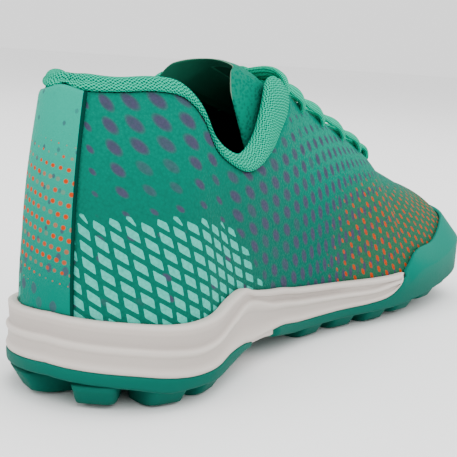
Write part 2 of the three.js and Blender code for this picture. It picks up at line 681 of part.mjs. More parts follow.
// One row across the throat, at a depth under the tongue's outer face.
function tongueArch(at, depth) {
  const free = 1 - smoothstep(at, TONGUE_LEAVES, 0.5);
  const reach = lerp(TONGUE_REACH, TONGUE_TOP_REACH, free);
  const under = (side, share) => {
    const here = at - TONGUE_SWEEP * free * share;
    const collared = 1 - smoothstep(here, COLLAR_END - 0.01, COLLAR_END + 0.03);
    const cover = lerp(WALL + GAP * 3, collarPad(here) + TONGUE_COLLAR_CLEAR, collared);
    const v = 1 - (share * reach) / section(side, here).length;
    return shellPoint(side, here, v, cover + depth * (1 - 0.4 * share));
  };
  const [left, right] = [under(INNER, 0), under(OUTER, 0)];
  const crown = 0.16 * left.distanceTo(right);
  return TONGUE_COLUMNS.map((across) => {
    if (Math.abs(across) >= 0.5) return under(across < 0 ? INNER : OUTER, Math.abs(across) * 2 - 1);
    const p = left.clone().lerp(right, across + 0.5);
    p.z += crown * (1 - (across * 2) ** 2);
    return p;
  });
}

const TONGUE_EDGE = new THREE.CatmullRomCurve3(
  TONGUE_END.map(({ x, y, z }) => new THREE.Vector3(x * SOLE_LENGTH, y * BALL_WIDTH, z * INSTEP_HEIGHT)),
);

function tongueSheet(depth) {
  const rows = [];
  for (let i = 0; i < TONGUE_ROWS; i++) {
    rows.push(tongueArch(lerp(TONGUE_FROM, TONGUE_LEAVES, i / (TONGUE_ROWS - 1)), depth));
  }
  const base = rows.at(-1);
  for (let i = 1; i <= TONGUE_FREE_ROWS; i++) {
    const free = i / TONGUE_FREE_ROWS;
    rows.push(
      base.map((p, k) => {
        const end = TONGUE_EDGE.getPoint(k / (base.length - 1));
        end.x -= depth;
        return p.clone().lerp(end, free);
      }),
    );
  }
  return rows;
}
const tongue = slab(tongueSheet(0), tongueSheet(TONGUE_THICKNESS));

// Laces: flat strands that come out of a hole, cross the tongue and go under the other side of the throat.

const LACE_CLEAR = GAP * 2 + LACE_THICKNESS / 2;
const overHole = (hole) => shellPoint(hole.side, hole.at, hole.v, -LACE_CLEAR);
const overEdge = (hole) => shellPoint(hole.side, hole.at, 1, -LACE_CLEAR);

// Direction down the throat, from its top to its lower end
const LACING_SLOPE = new THREE.Vector3(0.93, 0, -0.36);

function laceStrand(points) {
  const path = new THREE.CatmullRomCurve3(points, false, "centripetal");
  const loops = [];
  for (let i = 0; i <= LACE_STEPS; i++) {
    const along = path.getTangent(i / LACE_STEPS);
    const wide = LACING_SLOPE.clone();
    wide.addScaledVector(along, -wide.dot(along)).normalize();
    const thick = along.clone().cross(wide).normalize();
    const loop = Array.from({ length: 6 }, (_, k) => {
      const turn = (k * Math.PI) / 3;
      const q = path.getPoint(i / LACE_STEPS).addScaledVector(wide, (LACE_WIDTH / 2) * Math.cos(turn));
      return q.addScaledVector(thick, (LACE_THICKNESS / 2) * Math.sin(turn));
    });
    loops.push([...loop, loop[0]]);
  }
  const skin = new Skin();
  for (let i = 0; i < LACE_STEPS; i++) skin.span(loops[i], loops[i + 1]);
  skin.lid(loops[0]);
  skin.lid(loops[LACE_STEPS].reverse());
  return skin.solid();
}

function crossing(from, to) {
  const [start, end] = [overEdge(from), overEdge(to)];
  const middle = start.clone().lerp(end, 0.5);
  middle.z += LACE_RISE;
  return laceStrand([overHole(from), start, middle, middle.clone().lerp(end, 0.62)]);
}

const holes = { inner: eyelets.slice(0, EYELETS.length), outer: eyelets.slice(EYELETS.length) };
const laces = EYELETS.slice(1).map((_, i) =>
  clean(crossing(holes.inner[i + 1], holes.outer[i]).add(crossing(holes.outer[i + 1], holes.inner[i]))),
);

// Assembly

const finish = (color, roughness) => new THREE.MeshStandardMaterial({ color, roughness, metalness: 0 });
const FINISHES = {
  rubber: finish(0x189a88, 0.62),
  foam: finish(0xe4dcda, 0.7),
  print: finish(0x2a8576, 0.6),
  strip: finish(0x55bfa8, 0.6),
  knit: finish(0x3fb59a, 0.9),
  tongue: finish(0x239a80, 0.85),
  lining: finish(0x0b3f36, 0.95),
  lace: finish(0x36c4a0, 0.8),
};

const shoe = new THREE.Group();
function place(name, solid, material) {
  const mesh = new THREE.Mesh(geometryFrom(solid), material);
  mesh.name = name;
  shoe.add(mesh);
}
place("outsole", outsole, FINISHES.rubber);
place("midsole", midsole, FINISHES.foam);
place("insole", insole, FINISHES.lining);
place("upper", upper, FINISHES.print);
place("heel_strip", heelStrip, FINISHES.strip);
place("collar", collar, FINISHES.knit);
place("tongue", tongue, FINISHES.tongue);
laces.forEach((strand, i) => place(`lace_${i + 1}`, strand, FINISHES.lace));

const box = new THREE.Box3().setFromObject(shoe);
shoe.position.set(-(box.min.x + box.max.x) / 2, -(box.min.y + box.max.y) / 2, -box.min.z);

const model = new THREE.Group();
model.add(shoe);
export default model;
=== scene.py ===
# %% [markdown]
# # A left turf football shoe
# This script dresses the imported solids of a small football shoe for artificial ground. Every
# soft or moulded piece is made again here as a fine surface: the printed upper, the heel strip,
# the knit collar, the tongue, the laces, the insole, the foam midsole and the lugged rubber sole.
# Each surface is a function of two parameters on a numpy grid, in the same frame as the solids.

import bpy
import numpy as np
from mathutils import Matrix, Vector


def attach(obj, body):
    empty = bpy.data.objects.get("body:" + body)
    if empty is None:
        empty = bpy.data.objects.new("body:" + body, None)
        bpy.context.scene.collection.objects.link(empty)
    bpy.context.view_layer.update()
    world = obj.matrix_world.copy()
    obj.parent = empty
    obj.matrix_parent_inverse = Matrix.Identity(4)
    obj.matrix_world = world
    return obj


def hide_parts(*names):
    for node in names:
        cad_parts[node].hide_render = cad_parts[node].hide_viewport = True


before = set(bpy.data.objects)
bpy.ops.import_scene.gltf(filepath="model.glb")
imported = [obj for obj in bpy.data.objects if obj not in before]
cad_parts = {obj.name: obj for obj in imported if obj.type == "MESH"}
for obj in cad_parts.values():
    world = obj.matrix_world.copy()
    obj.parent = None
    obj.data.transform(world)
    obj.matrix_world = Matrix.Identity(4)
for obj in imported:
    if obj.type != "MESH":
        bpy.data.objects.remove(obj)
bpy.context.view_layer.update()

# %% [markdown]
# ## Sizes
# A shoe is built over a last, a wooden or plastic foot. Its maker measures it in sections: where
# the sole's edge lies, how high the sole stands, and how each section of the upper leaves the sole
# and arrives at the top. The tables below hold those measures, in millimetres or as shares of a
# size. They start at the back of the heel, on the line from heel to toe, and SHIFT leads from
# there to the part's origin, the middle of the footprint.

# %% Sizes
SOLE_LENGTH, BALL_WIDTH, SOLE_STACK = 288, 98, 28
INSTEP_HEIGHT = 107
LUG_HEIGHT, LUG_LENGTH, LUG_WIDTH, LUG_DRAFT, LUG_SPLAY = 5.6, 13, 10, 1.4, 3.5
LUG_EDGE, LUG_HEEL_SETBACK, LUG_APRON = 3.6, 3, 2.2
PLATE_THICKNESS, RUBBER_WALL, FEATHER_INSET, WALL, GAP = 3, 2, 4.6, 2.2, 0.3
STRIP_THICKNESS, STRIP_INNER, STRIP_OUTER = 1, 8, 16
HEEL_SHARE = 0.1  # the heel strip lies within this share of the outline
COLLAR_PAD, COLLAR_FRONT_PAD, COLLAR_DEPTH, COLLAR_LEAN = 6, 3.2, 24, 2.4
TONGUE_THICKNESS, TONGUE_REACH, TONGUE_TOP_REACH = 3.2, 9, 14
TONGUE_CORNER, TONGUE_CROWN = 12, 0.2
INSOLE_THICKNESS = 3.6
LACE_WIDTH, LACE_THICKNESS, EYELET_RADIUS, EYELET_SETBACK = 6.2, 2.5, 2.1, 6.5
COLLAR_END, COLLAR_TIP, THROAT_END = 0.425, 0.417, 0.7
SEAM_PEAK, SEAM_SPREAD = 0.022, 6.0
TONGUE_FROM, TONGUE_LEAVES, TONGUE_SWEEP = 0.69, 0.39, 0.07
NOTCH_FROM, NOTCH_TO, NOTCH_SLOPE, NOTCH_DEPTH = 0.285, 0.335, 0.02, 9
EYELETS = [0.368, 0.424, 0.487, 0.553, 0.616, 0.662]
INNER, OUTER = -1, 1
MM = 0.001
MIDDLE_ACROSS = 2.9007
SHIFT = np.array([-SOLE_LENGTH / 2, -MIDDLE_ACROSS, 0])


def table(columns, rows):
    """A dictionary of columns: each name has the array of its values, row by row."""
    return dict(zip(columns.split(), np.array(rows, float).T))


OUTLINE = table("at inner outer", [
    [0, 0, 0],
    [0.021, 0.195, 0.205],
    [0.076, 0.345, 0.345],
    [0.14, 0.388, 0.376],
    [0.2, 0.366, 0.384],
    [0.28, 0.325, 0.39],
    [0.4, 0.297, 0.41],
    [0.52, 0.33, 0.464],
    [0.625, 0.404, 0.512],
    [0.712, 0.452, 0.524],
    [0.816, 0.466, 0.465],
    [0.91, 0.43, 0.325],
    [0.972, 0.275, 0.155],
    [1, 0.04, -0.04],
])
LEVELS = table("at lift seam rim bed crease", [
    [0, 0.16, 0.53, 1.11, 0.7, 0.82],
    [0.04, 0.08, 0.46, 1.05, 0.64, 0.75],
    [0.08, 0, 0.4, 1.01, 0.62, 0.7],
    [0.12, 0, 0.37, 1, 0.62, 0.67],
    [0.16, 0, 0.39, 1.04, 0.62, 0.72],
    [0.2, 0.06, 0.46, 1.14, 0.62, 0.84],
    [0.24, 0.12, 0.46, 1.18, 0.61, 0.95],
    [0.27, 0.12, 0.42, 1.1, 0.6, 0.93],
    [0.33, 0.1, 0.42, 0.99, 0.56, 0.78],
    [0.37, 0.05, 0.42, 0.94, 0.54, 0.72],
    [0.42, 0, 0.37, 0.86, 0.52, 0.65],
    [0.52, 0, 0.36, 0.78, 0.49, 0.58],
    [0.6, 0, 0.37, 0.74, 0.47, 0.55],
    [0.65, 0, 0.45, 0.73, 0.47, 0.6],
    [0.69, 0.03, 0.74, 0.72, 0.47, 0.62],
    [0.73, 0.07, 1.02, 0.49, 0.48, 0.48],
    [0.8, 0.14, 1.1, 0.53, 0.53, 0.52],
    [0.88, 0.24, 1.34, 0.62, 0.62, 0.61],
    [0.95, 0.36, 1.45, 0.73, 0.73, 0.72],
    [1, 0.46, 1.5, 0.84, 0.84, 0.83],
])
SECTIONS = table("at topAt ridge half top flare rise out drop seam", [
    [0, 0.022, 0, 0, 106, 0.03, 0.36, 0.05, 0.3, 0.93],
    [0.02, 0.028, 0, 0.075, 105.8, 0.028, 0.36, 0.05, 0.3, 0.93],
    [0.06, 0.05, 0, 0.15, 105.2, 0.024, 0.36, 0.045, 0.3, 0.94],
    [0.11, 0.083, 0, 0.225, 105.8, 0.02, 0.36, 0.04, 0.3, 0.94],
    [0.15, 0.113, 0, 0.268, 104.4, 0.02, 0.36, 0.04, 0.3, 0.935],
    [0.19, 0.143, 0, 0.29, 98.05, 0.02, 0.36, 0.03, 0.3, 0.93],
    [0.225, 0.168, 0, 0.307, 87.45, 0.022, 0.36, 0.02, 0.3, 0.92],
    [0.26, 0.2, -0.002, 0.32, 81.4, 0.024, 0.36, 0.02, 0.28, 0.91],
    [0.29, 0.232, -0.004, 0.324, 80.03, 0.028, 0.36, 0.03, 0.26, 0.88],
    [0.315, 0.26, -0.008, 0.314, 85.33, 0.032, 0.36, 0.05, 0.22, 0.815],
    [0.34, 0.284, -0.013, 0.29, 95.93, 0.036, 0.36, 0.075, 0.18, 0.72],
    [0.365, 0.308, -0.018, 0.255, 104.5, 0.038, 0.36, 0.1, 0.14, 0.695],
    [0.39, 0.336, -0.022, 0.218, 106.5, 0.038, 0.36, 0.11, 0.12, 0.73],
    [0.41, 0.36, -0.026, 0.195, 104.3, 0.036, 0.36, 0.115, 0.115, 0.83],
    [0.425, 0.379, -0.029, 0.18, 102.0, 0.034, 0.36, 0.118, 0.112, 1],
    [0.45, 0.412, -0.033, 0.162, 98.2, 0.031, 0.37, 0.12, 0.11, 1],
    [0.5, 0.474, -0.042, 0.148, 92.0, 0.026, 0.38, 0.125, 0.1, 1],
    [0.58, 0.567, -0.056, 0.135, 82.4, 0.018, 0.4, 0.13, 0.08, 1],
    [0.64, 0.637, -0.066, 0.11, 75.4, 0.014, 0.42, 0.14, 0.06, 1],
    [0.68, 0.678, -0.07, 0.06, 71.2, 0.012, 0.43, 0.16, 0.04, 1],
    [0.7, 0.688, -0.071, 0, 70.4, 0.012, 0.44, 0.18, 0.03, 1],
    [0.75, 0.735, -0.07, 0, 65.6, 0.01, 0.46, 0.2, 0.03, 1],
    [0.8, 0.778, -0.066, 0, 61.8, 0.008, 0.48, 0.2, 0.04, 1],
    [0.85, 0.812, -0.062, 0, 58.7, 0.006, 0.5, 0.2, 0.06, 1],
    [0.91, 0.833, -0.058, 0, 57, 0.004, 0.52, 0.22, 0.1, 1],
    [1, 0.833, -0.058, 0, 57, 0, 0.54, 0.26, 0.2, 1],
])
TONGUE_END = table("across x y z", [
    [-1, 0.24, -0.205, 1.0],
    [-0.5, 0.277, -0.185, 1.025],
    [0, 0.312, -0.03, 1.045],
    [0.5, 0.322, 0.13, 1.035],
    [1, 0.302, 0.205, 1],
])
LUGS = table("at middle", [
    [0.015, 0], [0.085, 1], [0.168, 2], [0.24, 1], [0.475, 1], [0.55, 2],
    [0.625, 3], [0.7, 2], [0.785, 3], [0.865, 2], [0.935, 1],
])

# %% [markdown]
# ## The last as a surface
# The sole's edge is an egg-like outline that turns sharply at heel and toe. Shares of the length
# are therefore spread by an angle, which puts many sections where the outline turns. Each section
# of the upper is one cubic Bezier from the feather line, where upper and sole meet, to the top.


# %% The last
def smoothstep(x, low, high):
    """0 below low and 1 above high, with an S-shaped rise between them."""
    t = np.clip((x - low) / (high - low), 0, 1)
    return t * t * (3 - 2 * t)


def mix(a, b, share):
    """The point or number at a share of the way from a to b."""
    return a + (b - a) * share


def angle_of(at):
    """The angle whose cosine runs from 1 at the heel to -1 at the toe."""
    return np.arccos(1 - 2 * np.clip(at, 0, 1))


def share_of(angle):
    """The share of the length at an angle, the reverse of angle_of."""
    return (1 - np.cos(angle)) / 2


def column(rows, name, at):
    """A smooth curve through one column of a table: cubic pieces whose slope at a row is that
    between its two neighbours, over the angle of the share."""
    x, knots, values = angle_of(at), angle_of(rows["at"]), rows[name]
    last = len(knots) - 1
    k = np.arange(last + 1)
    before, after = np.maximum(k - 1, 0), np.minimum(k + 1, last)
    slopes = (values[after] - values[before]) / (knots[after] - knots[before])
    i = np.clip(np.searchsorted(knots, x) - 1, 0, last - 1)
    step = knots[i + 1] - knots[i]
    t = np.clip((x - knots[i]) / step, 0, 1)
    bend = step * t * (1 - t) * (slopes[i] * (1 - t) - slopes[i + 1] * t)
    return mix(values[i], values[i + 1], t * t * (3 - 2 * t)) + bend


def level(name, at):
    """A height of the sole in millimetres, from its column."""
    return column(LEVELS, name, at) * SOLE_STACK


def root_height(at):
    """Height of the lugs' roots: the lugs' height over how far they stand off the floor."""
    return LUG_HEIGHT + np.maximum(level("lift", at), 0)


def outline_point(side, at):
    """Point of the sole's edge in plan: the length's share, and the side's half width."""
    half = np.where(side < 0, column(OUTLINE, "inner", at), column(OUTLINE, "outer", at))
    return np.stack([at * SOLE_LENGTH + 0 * half, side * half * BALL_WIDTH], -1)


def unit(vectors):
    """The same directions with length one."""
    return vectors / np.maximum(np.linalg.norm(vectors, axis=-1, keepdims=True), 1e-12)


def outline_normal(side, at):
    """Outward direction of the edge: the line through two points a little apart, turned by a
    right angle. Past an end the second point lies on the other side."""
    nudge = 0.02

    def near(angle):
        """The edge's point at an angle, on the other side where the angle is past an end."""
        other = (angle < 0) | (angle > np.pi)
        return outline_point(np.where(other, -side, side), share_of(angle))

    along = unit(near(angle_of(at) + nudge) - near(angle_of(at) - nudge))
    return np.stack([-along[..., 1] * side, along[..., 0] * side], -1)


def stack(x, y, z):
    """Three arrays or plain numbers, spread to one shape, as an array of points."""
    return np.stack(np.broadcast_arrays(x, y, z), -1).astype(float)


def walk(points, axis=0):
    """Running length along one axis of a grid of points: the sum of the chords so far."""
    chords = np.linalg.norm(np.diff(points, axis=axis), axis=-1)
    return np.insert(np.cumsum(chords, axis), 0, 0, axis)


def halving(low, high, short, rounds=20):
    """The place where a rising measure meets its mark: the middle between low and high becomes
    the new low where short says that it falls short there, and the new high elsewhere."""
    for _ in range(rounds):
        middle = (low + high) / 2
        below = short(middle)
        low, high = np.where(below, middle, low), np.where(below, high, middle)
    return low


def inset_point(side, at, inset, z):
    """The edge moved inwards by a length, at a height."""
    p, n = outline_point(side, at), outline_normal(side, at)
    inset = np.asarray(inset, float)
    return stack(p[..., 0] - n[..., 0] * inset, p[..., 1] - n[..., 1] * inset, z)


def middle_point(at, height):
    """Middle line of the sole, halfway between its two edges, at the height that a function
    gives for the share. It stops a little before heel and toe."""
    margin = 2.4 * FEATHER_INSET / SOLE_LENGTH
    share = np.clip(at, margin, 1 - margin)
    y = (outline_point(INNER, share)[..., 1] + outline_point(OUTER, share)[..., 1]) / 2
    return stack(share * SOLE_LENGTH, y, height(share))


def controls(side, at):
    """The four control points of a section: foot, knee, shoulder and top."""
    get = {name: column(SECTIONS, name, at) for name in SECTIONS}
    n, edge = outline_normal(side, at), outline_point(side, at)
    foot = inset_point(side, at, FEATHER_INSET, level("bed", at) + GAP)
    half = np.where(at >= THROAT_END, 0, np.maximum(get["half"], 0))
    top = stack(get["topAt"] * SOLE_LENGTH, (get["ridge"] + side * half) * BALL_WIDTH, get["top"])
    height = top[..., 2] - foot[..., 2]
    away = unit(edge - top[..., :2])
    flare, out = get["flare"] * BALL_WIDTH, get["out"] * BALL_WIDTH
    knee = foot + stack(n[..., 0] * flare, n[..., 1] * flare, get["rise"] * height)
    shoulder = top + stack(away[..., 0] * out, away[..., 1] * out, -get["drop"] * height)
    return foot, knee, shoulder, top


def bezier(ends, v):
    """Point of a cubic Bezier: the four control points weighed by the powers of v and 1 - v."""
    v = np.asarray(v, float)[..., None]
    a, b, c, d = ends
    return a * (1 - v) ** 3 + 3 * b * v * (1 - v) ** 2 + 3 * c * v * v * (1 - v) + d * v**3


def last_point(side, at, v):
    """A point of the last: the section at a share of the length, at its parameter v."""
    return bezier(controls(side, at), v)


def last_normal(side, at, v):
    """Outward direction: the cross product of a step along the shoe and a step up the section."""
    nudge = 0.012
    x = np.clip(angle_of(at), nudge, np.pi - nudge)
    low = np.clip(v, 0, 1 - nudge)
    up = last_point(side, share_of(x), low + nudge) - last_point(side, share_of(x), low)
    along = last_point(side, share_of(x + nudge), low) - last_point(side, share_of(x - nudge), low)
    return unit(np.cross(up, along) * np.sign(side)[..., None])


def shell_point(side, at, v, depth):
    """A point at a depth under the last's surface: the point moved against the outward
    direction. Where the two sides meet, both take the mean direction."""
    side, at, v, depth = np.broadcast_arrays(side, at, np.asarray(v, float), depth)
    n = last_normal(side, at, v)
    shared = ((at >= THROAT_END) & (v >= 1)) | (at <= 0) | (at >= 1)
    n = np.where(shared[..., None], unit(n + last_normal(-side, at, v)), n)
    flat = unit(n * [1, 1, 0])
    n = np.where((v <= 0)[..., None], flat, n)
    return last_point(side, at, v) - n * depth[..., None]


def share_at_height(side, at, z):
    """The parameter at which a section reaches a height, by halving."""
    ends, low = controls(side, at), np.zeros(np.shape(z * at))
    return halving(low, low + 1, lambda v: bezier(ends, v)[..., 2] < z)


def section_length(side, at):
    """Length of a section: the sum of forty chords."""
    points = bezier([p[..., None, :] for p in controls(side, at)], np.linspace(0, 1, 41))
    return np.linalg.norm(np.diff(points, axis=-2), axis=-1).sum(-1)


print("section length at heel and ball", section_length(np.array([1, 1]), np.array([0.05, 0.6])))

# %% [markdown]
# ## From grids to pieces
# A ring of stations runs once round the shoe. A grid of points over stations and steps becomes
# quads between neighbours. Equal points are welded, which closes seams and poles, and the faces
# are turned so that the body's volume is positive, which makes them face outward.


# %% Grids
WELD_DIGITS = 4


def shares(count, fixed=(), upto=1.0):
    """Shares of the length spread evenly by angle, with a station on each fixed share."""
    even = share_of(np.linspace(0, angle_of(upto), count + 1))
    keep = np.all(np.abs(even[:, None] - np.array(fixed or [9])) > 0.003, axis=1)
    return np.unique(np.concatenate([even[keep], fixed]))


def ring(spread):
    """Stations round the shoe: the outer side from heel to toe, then the arch side back."""
    side = np.concatenate([np.full(len(spread), OUTER), np.full(len(spread) - 2, INNER)])
    return side, np.concatenate([spread, spread[-2:0:-1]])


def net(index, closed=False):
    """Quads between the neighbouring rows of a grid of point numbers, as rows of four."""
    first, second = (index, np.roll(index, -1, 0)) if closed else (index[:-1], index[1:])
    return np.stack([first[:, :-1], second[:, :-1], second[:, 1:], first[:, 1:]], -1).reshape(-1, 4)


def numbers(grid, start=0):
    """Point numbers in the shape of a grid of points."""
    return np.arange(start, start + grid[..., 0].size).reshape(grid.shape[:-1])


def joined(bodies, start=0):
    """The points of several grids in one list, and their quads, numbered on from a start."""
    quads = []
    for body in bodies:
        quads.append(net(numbers(body, start)))
        start += body[..., 0].size
    return np.concatenate([body.reshape(-1, 3) for body in bodies]), np.concatenate(quads)


def capped(loops):
    """The loops, and at each end one more, shrunk to the end's middle, which closes it."""
    first, last = (loops[[k]].mean(1, keepdims=True) + 0 * loops[[k]] for k in (0, -1))
    return np.concatenate([first, loops, last])


def twice(grid):
    """A grid's values in rows of three, once for the front face and once for the back."""
    return np.tile(grid.reshape(-1, 3), (2, 1))


def soften(loops, radius):
    """Rounded corners on profiles: each inner corner becomes three points of a parabola that
    leaves the corner's two edges at the radius, or at four tenths of a shorter edge."""
    ahead, behind = loops[:, 2:] - loops[:, 1:-1], loops[:, :-2] - loops[:, 1:-1]
    size = np.minimum(np.linalg.norm(ahead, axis=-1), np.linalg.norm(behind, axis=-1))
    reach = np.minimum(radius, 0.4 * size)[..., None]
    start, end = loops[:, 1:-1] + unit(behind) * reach, loops[:, 1:-1] + unit(ahead) * reach
    middle = (start + end) / 4 + loops[:, 1:-1] / 2
    round_corners = np.stack([start, middle, end], 2).reshape(len(loops), -1, 3)
    return np.concatenate([loops[:, :1], round_corners, loops[:, -1:]], 1)


def alone(faces):
    """Whether each face is the only one on its corners. Two faces back to back enclose nothing,
    so neither of them counts."""
    corners = np.sort(faces, axis=1)
    corners[:, 1:] = np.where(np.diff(corners, axis=1) == 0, -1, corners[:, 1:])
    corners = np.sort(corners, axis=1)
    _, group, size = np.unique(corners, axis=0, return_inverse=True, return_counts=True)
    return size[group.reshape(-1)] == 1


def piece(name, points, quads, slots, replaced, facts=None, zones=None):
    """A closed mesh in the part's frame. points are in millimetres from the heel, quads number
    them, facts are named vectors on the points, zones the material of each quad. The body's
    volume is summed from the origin over both halves of each quad, and decides which way the
    faces turn."""
    points = points.reshape(-1, 3)
    rounded = np.round(points, WELD_DIGITS)
    _, first, inverse = np.unique(rounded, axis=0, return_index=True, return_inverse=True)
    corners, faces = points[first], inverse.reshape(-1)[quads]
    a, b, c, d = (corners[faces[:, k]] for k in range(4))
    volume = np.einsum("ij,ij->i", a, np.cross(b, c)) + np.einsum("ij,ij->i", a, np.cross(c, d))
    if volume.sum() < 0:
        faces = faces[:, ::-1]
    kept = faces != np.roll(faces, -1, axis=1)
    whole = (kept.sum(1) >= 3) & (faces[:, 0] != faces[:, 2]) & (faces[:, 1] != faces[:, 3])
    whole[whole] = alone(faces[whole])
    used, faces = np.unique(faces[whole], return_inverse=True)
    faces, kept, first = faces.reshape(-1, 4), kept[whole], first[used]
    mesh = bpy.data.meshes.new(name)
    mesh.vertices.add(len(used))
    mesh.vertices.foreach_set("co", ((points[first] + SHIFT) * MM).ravel())
    mesh.loops.add(int(kept.sum()))
    mesh.loops.foreach_set("vertex_index", faces[kept])
    mesh.polygons.add(len(faces))
    mesh.polygons.foreach_set("loop_start", np.concatenate([[0], np.cumsum(kept.sum(1))[:-1]]))
    if zones is not None:
        mesh.polygons.foreach_set("material_index", np.asarray(zones)[whole].astype(np.int32))
    mesh.update(calc_edges=True)
    mesh.shade_smooth()
    for key, values in (facts or {}).items():
        data = mesh.attributes.new(key, "FLOAT_VECTOR", "POINT").data
        data.foreach_set("vector", values.reshape(-1, 3)[first].astype(np.float32).ravel())
    for finish in slots:
        mesh.materials.append(finish)
    made = bpy.data.objects.new(name, mesh)
    bpy.context.scene.collection.objects.link(made)
    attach(made, "root")
    if replaced:
        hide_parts(*replaced)
    print(name, "points", len(used), "faces", len(faces))
    return made


# %% [markdown]
# ## Shader sums
# A print, a knit or a weave is a sum over coordinates. A small class wraps one socket, so that a
# pattern reads like arithmetic: it adds, multiplies and compares, and makes any other node.


# %% Shader sums
class Wire:
    """An output of a material's node tree that behaves like a number."""

    def __init__(self, tree, socket):
        self.tree, self.socket = tree, socket

    def make(self, kind, settings, inputs, output=0):
        """Any node: its type, its settings first, then its sockets, and the output to carry on."""
        node = self.tree.nodes.new(kind)
        for name, value in settings.items():
            setattr(node, name, value)
        for key, value in inputs.items():
            if isinstance(value, Wire):
                self.tree.links.new(value.socket, node.inputs[key])
            else:
                node.inputs[key].default_value = value
        return Wire(self.tree, node.outputs[output])

    def math(self, operation, *others):
        """A sum of this number and others, by the name of Blender's operation."""
        inputs = dict(enumerate([self, *others]))
        return self.make("ShaderNodeMath", {"operation": operation}, inputs)

    def __add__(self, other):
        return self.math("ADD", other)

    def __mul__(self, other):
        return self.math("MULTIPLY", other)

    def __sub__(self, other):
        return self.math("SUBTRACT", other)

    def __rsub__(self, other):
        return self * -1 + other

    def __truediv__(self, other):
        return self.math("DIVIDE", other)

    __radd__, __rmul__ = __add__, __mul__

    def wave(self, period):
        """A cosine wave of this number with a period, from -1 to 1."""
        return (self * (2 * np.pi / period)).math("COSINE")

    def step(self, low, high):
        """0 at low and 1 at high with a smooth rise; low may be above high."""
        inputs = {"Value": self, "From Min": low, "From Max": high}
        return self.make("ShaderNodeMapRange", {"interpolation_type": "SMOOTHSTEP"}, inputs)

    def blend(self, under, over):
        """Two colours mixed by this number."""
        inputs = {0: self, 6: under, 7: over}
        return self.make("ShaderNodeMix", {"data_type": "RGBA"}, inputs, 2)

    def parts(self):
        """The three numbers of a vector."""
        nodes = self.tree.nodes.new("ShaderNodeSeparateXYZ")
        self.tree.links.new(self.socket, nodes.inputs[0])
        return [Wire(self.tree, output) for output in nodes.outputs]


def ink(red, green, blue):
    """A display colour from 0 to 255 as the linear colour that a shader takes."""
    c = np.array([red, green, blue]) / 255
    linear = np.where(c <= 0.04045, c / 12.92, ((c + 0.055) / 1.055) ** 2.4)
    return (*[float(x) for x in linear], 1.0)


def fact(tree, name):
    """A named vector of the mesh as a wire."""
    node = tree.nodes.new("ShaderNodeAttribute")
    node.attribute_name = name
    return Wire(tree, node.outputs["Vector"])


def place(tree):
    """The point's own coordinates on the object, in metres."""
    return Wire(tree, tree.nodes.new("ShaderNodeTexCoord").outputs["Object"])


def grain(tree, per_metre, kind="Noise"):
    """Fine texture in the object's own coordinates, cloudy, or with small round cells for the
    kind Voronoi. per_metre is how many grains lie in a metre."""
    start = place(tree)
    return start.make("ShaderNodeTex" + kind, {}, {"Vector": start, "Scale": per_metre})


def material(name, colour, roughness, paint=None, shine=0.2):
    """A plain surface, or one whose paint function returns colour, roughness and relief wires.
    The relief is a height from 0 to 1 and its depth in metres. shine is how strongly the
    surface mirrors, 0.5 for plain plastic."""
    made = bpy.data.materials.new(name)
    made.use_nodes = True
    tree = made.node_tree
    shader = tree.nodes["Principled BSDF"]
    shader.inputs["Base Color"].default_value = colour
    shader.inputs["Roughness"].default_value = roughness
    shader.inputs["Specular IOR Level"].default_value = shine
    if paint:
        wires = paint(tree)
        for key in ("Base Color", "Roughness"):
            if key in wires:
                tree.links.new(wires[key].socket, shader.inputs[key])
        if "relief" in wires:
            relief, depth = wires["relief"]
            inputs = {"Height": relief, "Distance": depth, "Strength": 1.0}
            bump = relief.make("ShaderNodeBump", {}, inputs)
            tree.links.new(bump.socket, shader.inputs["Normal"])
    return made


# %% [markdown]
# ## The print on the upper
# The upper is a thin knit under a printed film. Its print is three slanted lattices: mint lozenges
# low on the quarter, soft mauve lozenges above them, and orange flecks that gather on the forefoot.
# A lozenge is where the fractions of two slanted coordinates are both near a half. Lengths run
# along the edge of the sole from the middle of the heel, and heights up from the floor.

# %% The print
# The second, lighter green is painted light for the top and front of the upper.
GREEN, GREEN_PAINTED_LIGHT = ink(0, 92, 76), ink(0, 124, 102)
MINT, MAUVE = ink(56, 176, 158), ink(60, 60, 82)
EMBER, OLIVE, DEEP = ink(174, 54, 0), ink(56, 86, 46), ink(0, 60, 50)
EDGE_END = 420
edge_share = share_of(np.linspace(0, 1, 400) * np.pi)
edge_length = walk(outline_point(np.full(400, INNER), edge_share))


def round_the_edge(at):
    """Length along the arch side's edge, from the middle of the heel."""
    return np.interp(at, edge_share, edge_length)


def lattice(s, h, pitch, period, slant, rise):
    """Two slanted coordinates of a lattice: columns by length over pitch, leaning forwards as
    they fall, and rows by height over period less the column, so that the lozenges' long
    diagonal falls forwards too."""
    column_number = np.interp(s, pitch[0], pitch[1]) + slant * h / period
    row_number = (rise * column_number - h) / period
    return column_number, row_number - column_number


def pitch_map(lengths, sizes):
    """Column numbers along the edge for a pitch that changes with the length: the running sum
    of short steps over the pitch there."""
    s = np.linspace(0, EDGE_END, 2 * EDGE_END + 1)
    return s, np.concatenate([[0], np.cumsum(np.diff(s) / np.interp(s[1:], lengths, sizes))])


MINT_PITCH = pitch_map([0, 45, 75, 100, 130], [6.3, 6.4, 7.6, 8.4, 8.4])
heel_columns = [-1, 11, 23, 35, 46.5, 58, 71, 87, 99]
side_columns = [107, 115, 124, 133.5, 141.5, 148, 153.5, 158.7, 163.8, 168.8]
mauve_columns = np.array([*heel_columns, *side_columns, *np.arange(173.5, EDGE_END, 4.7)])
MAUVE_PITCH = mauve_columns, np.arange(len(mauve_columns)) + 0.5
EMBER_PITCH = pitch_map([0, 150, 300], [6.0, 6.0, 5.2])


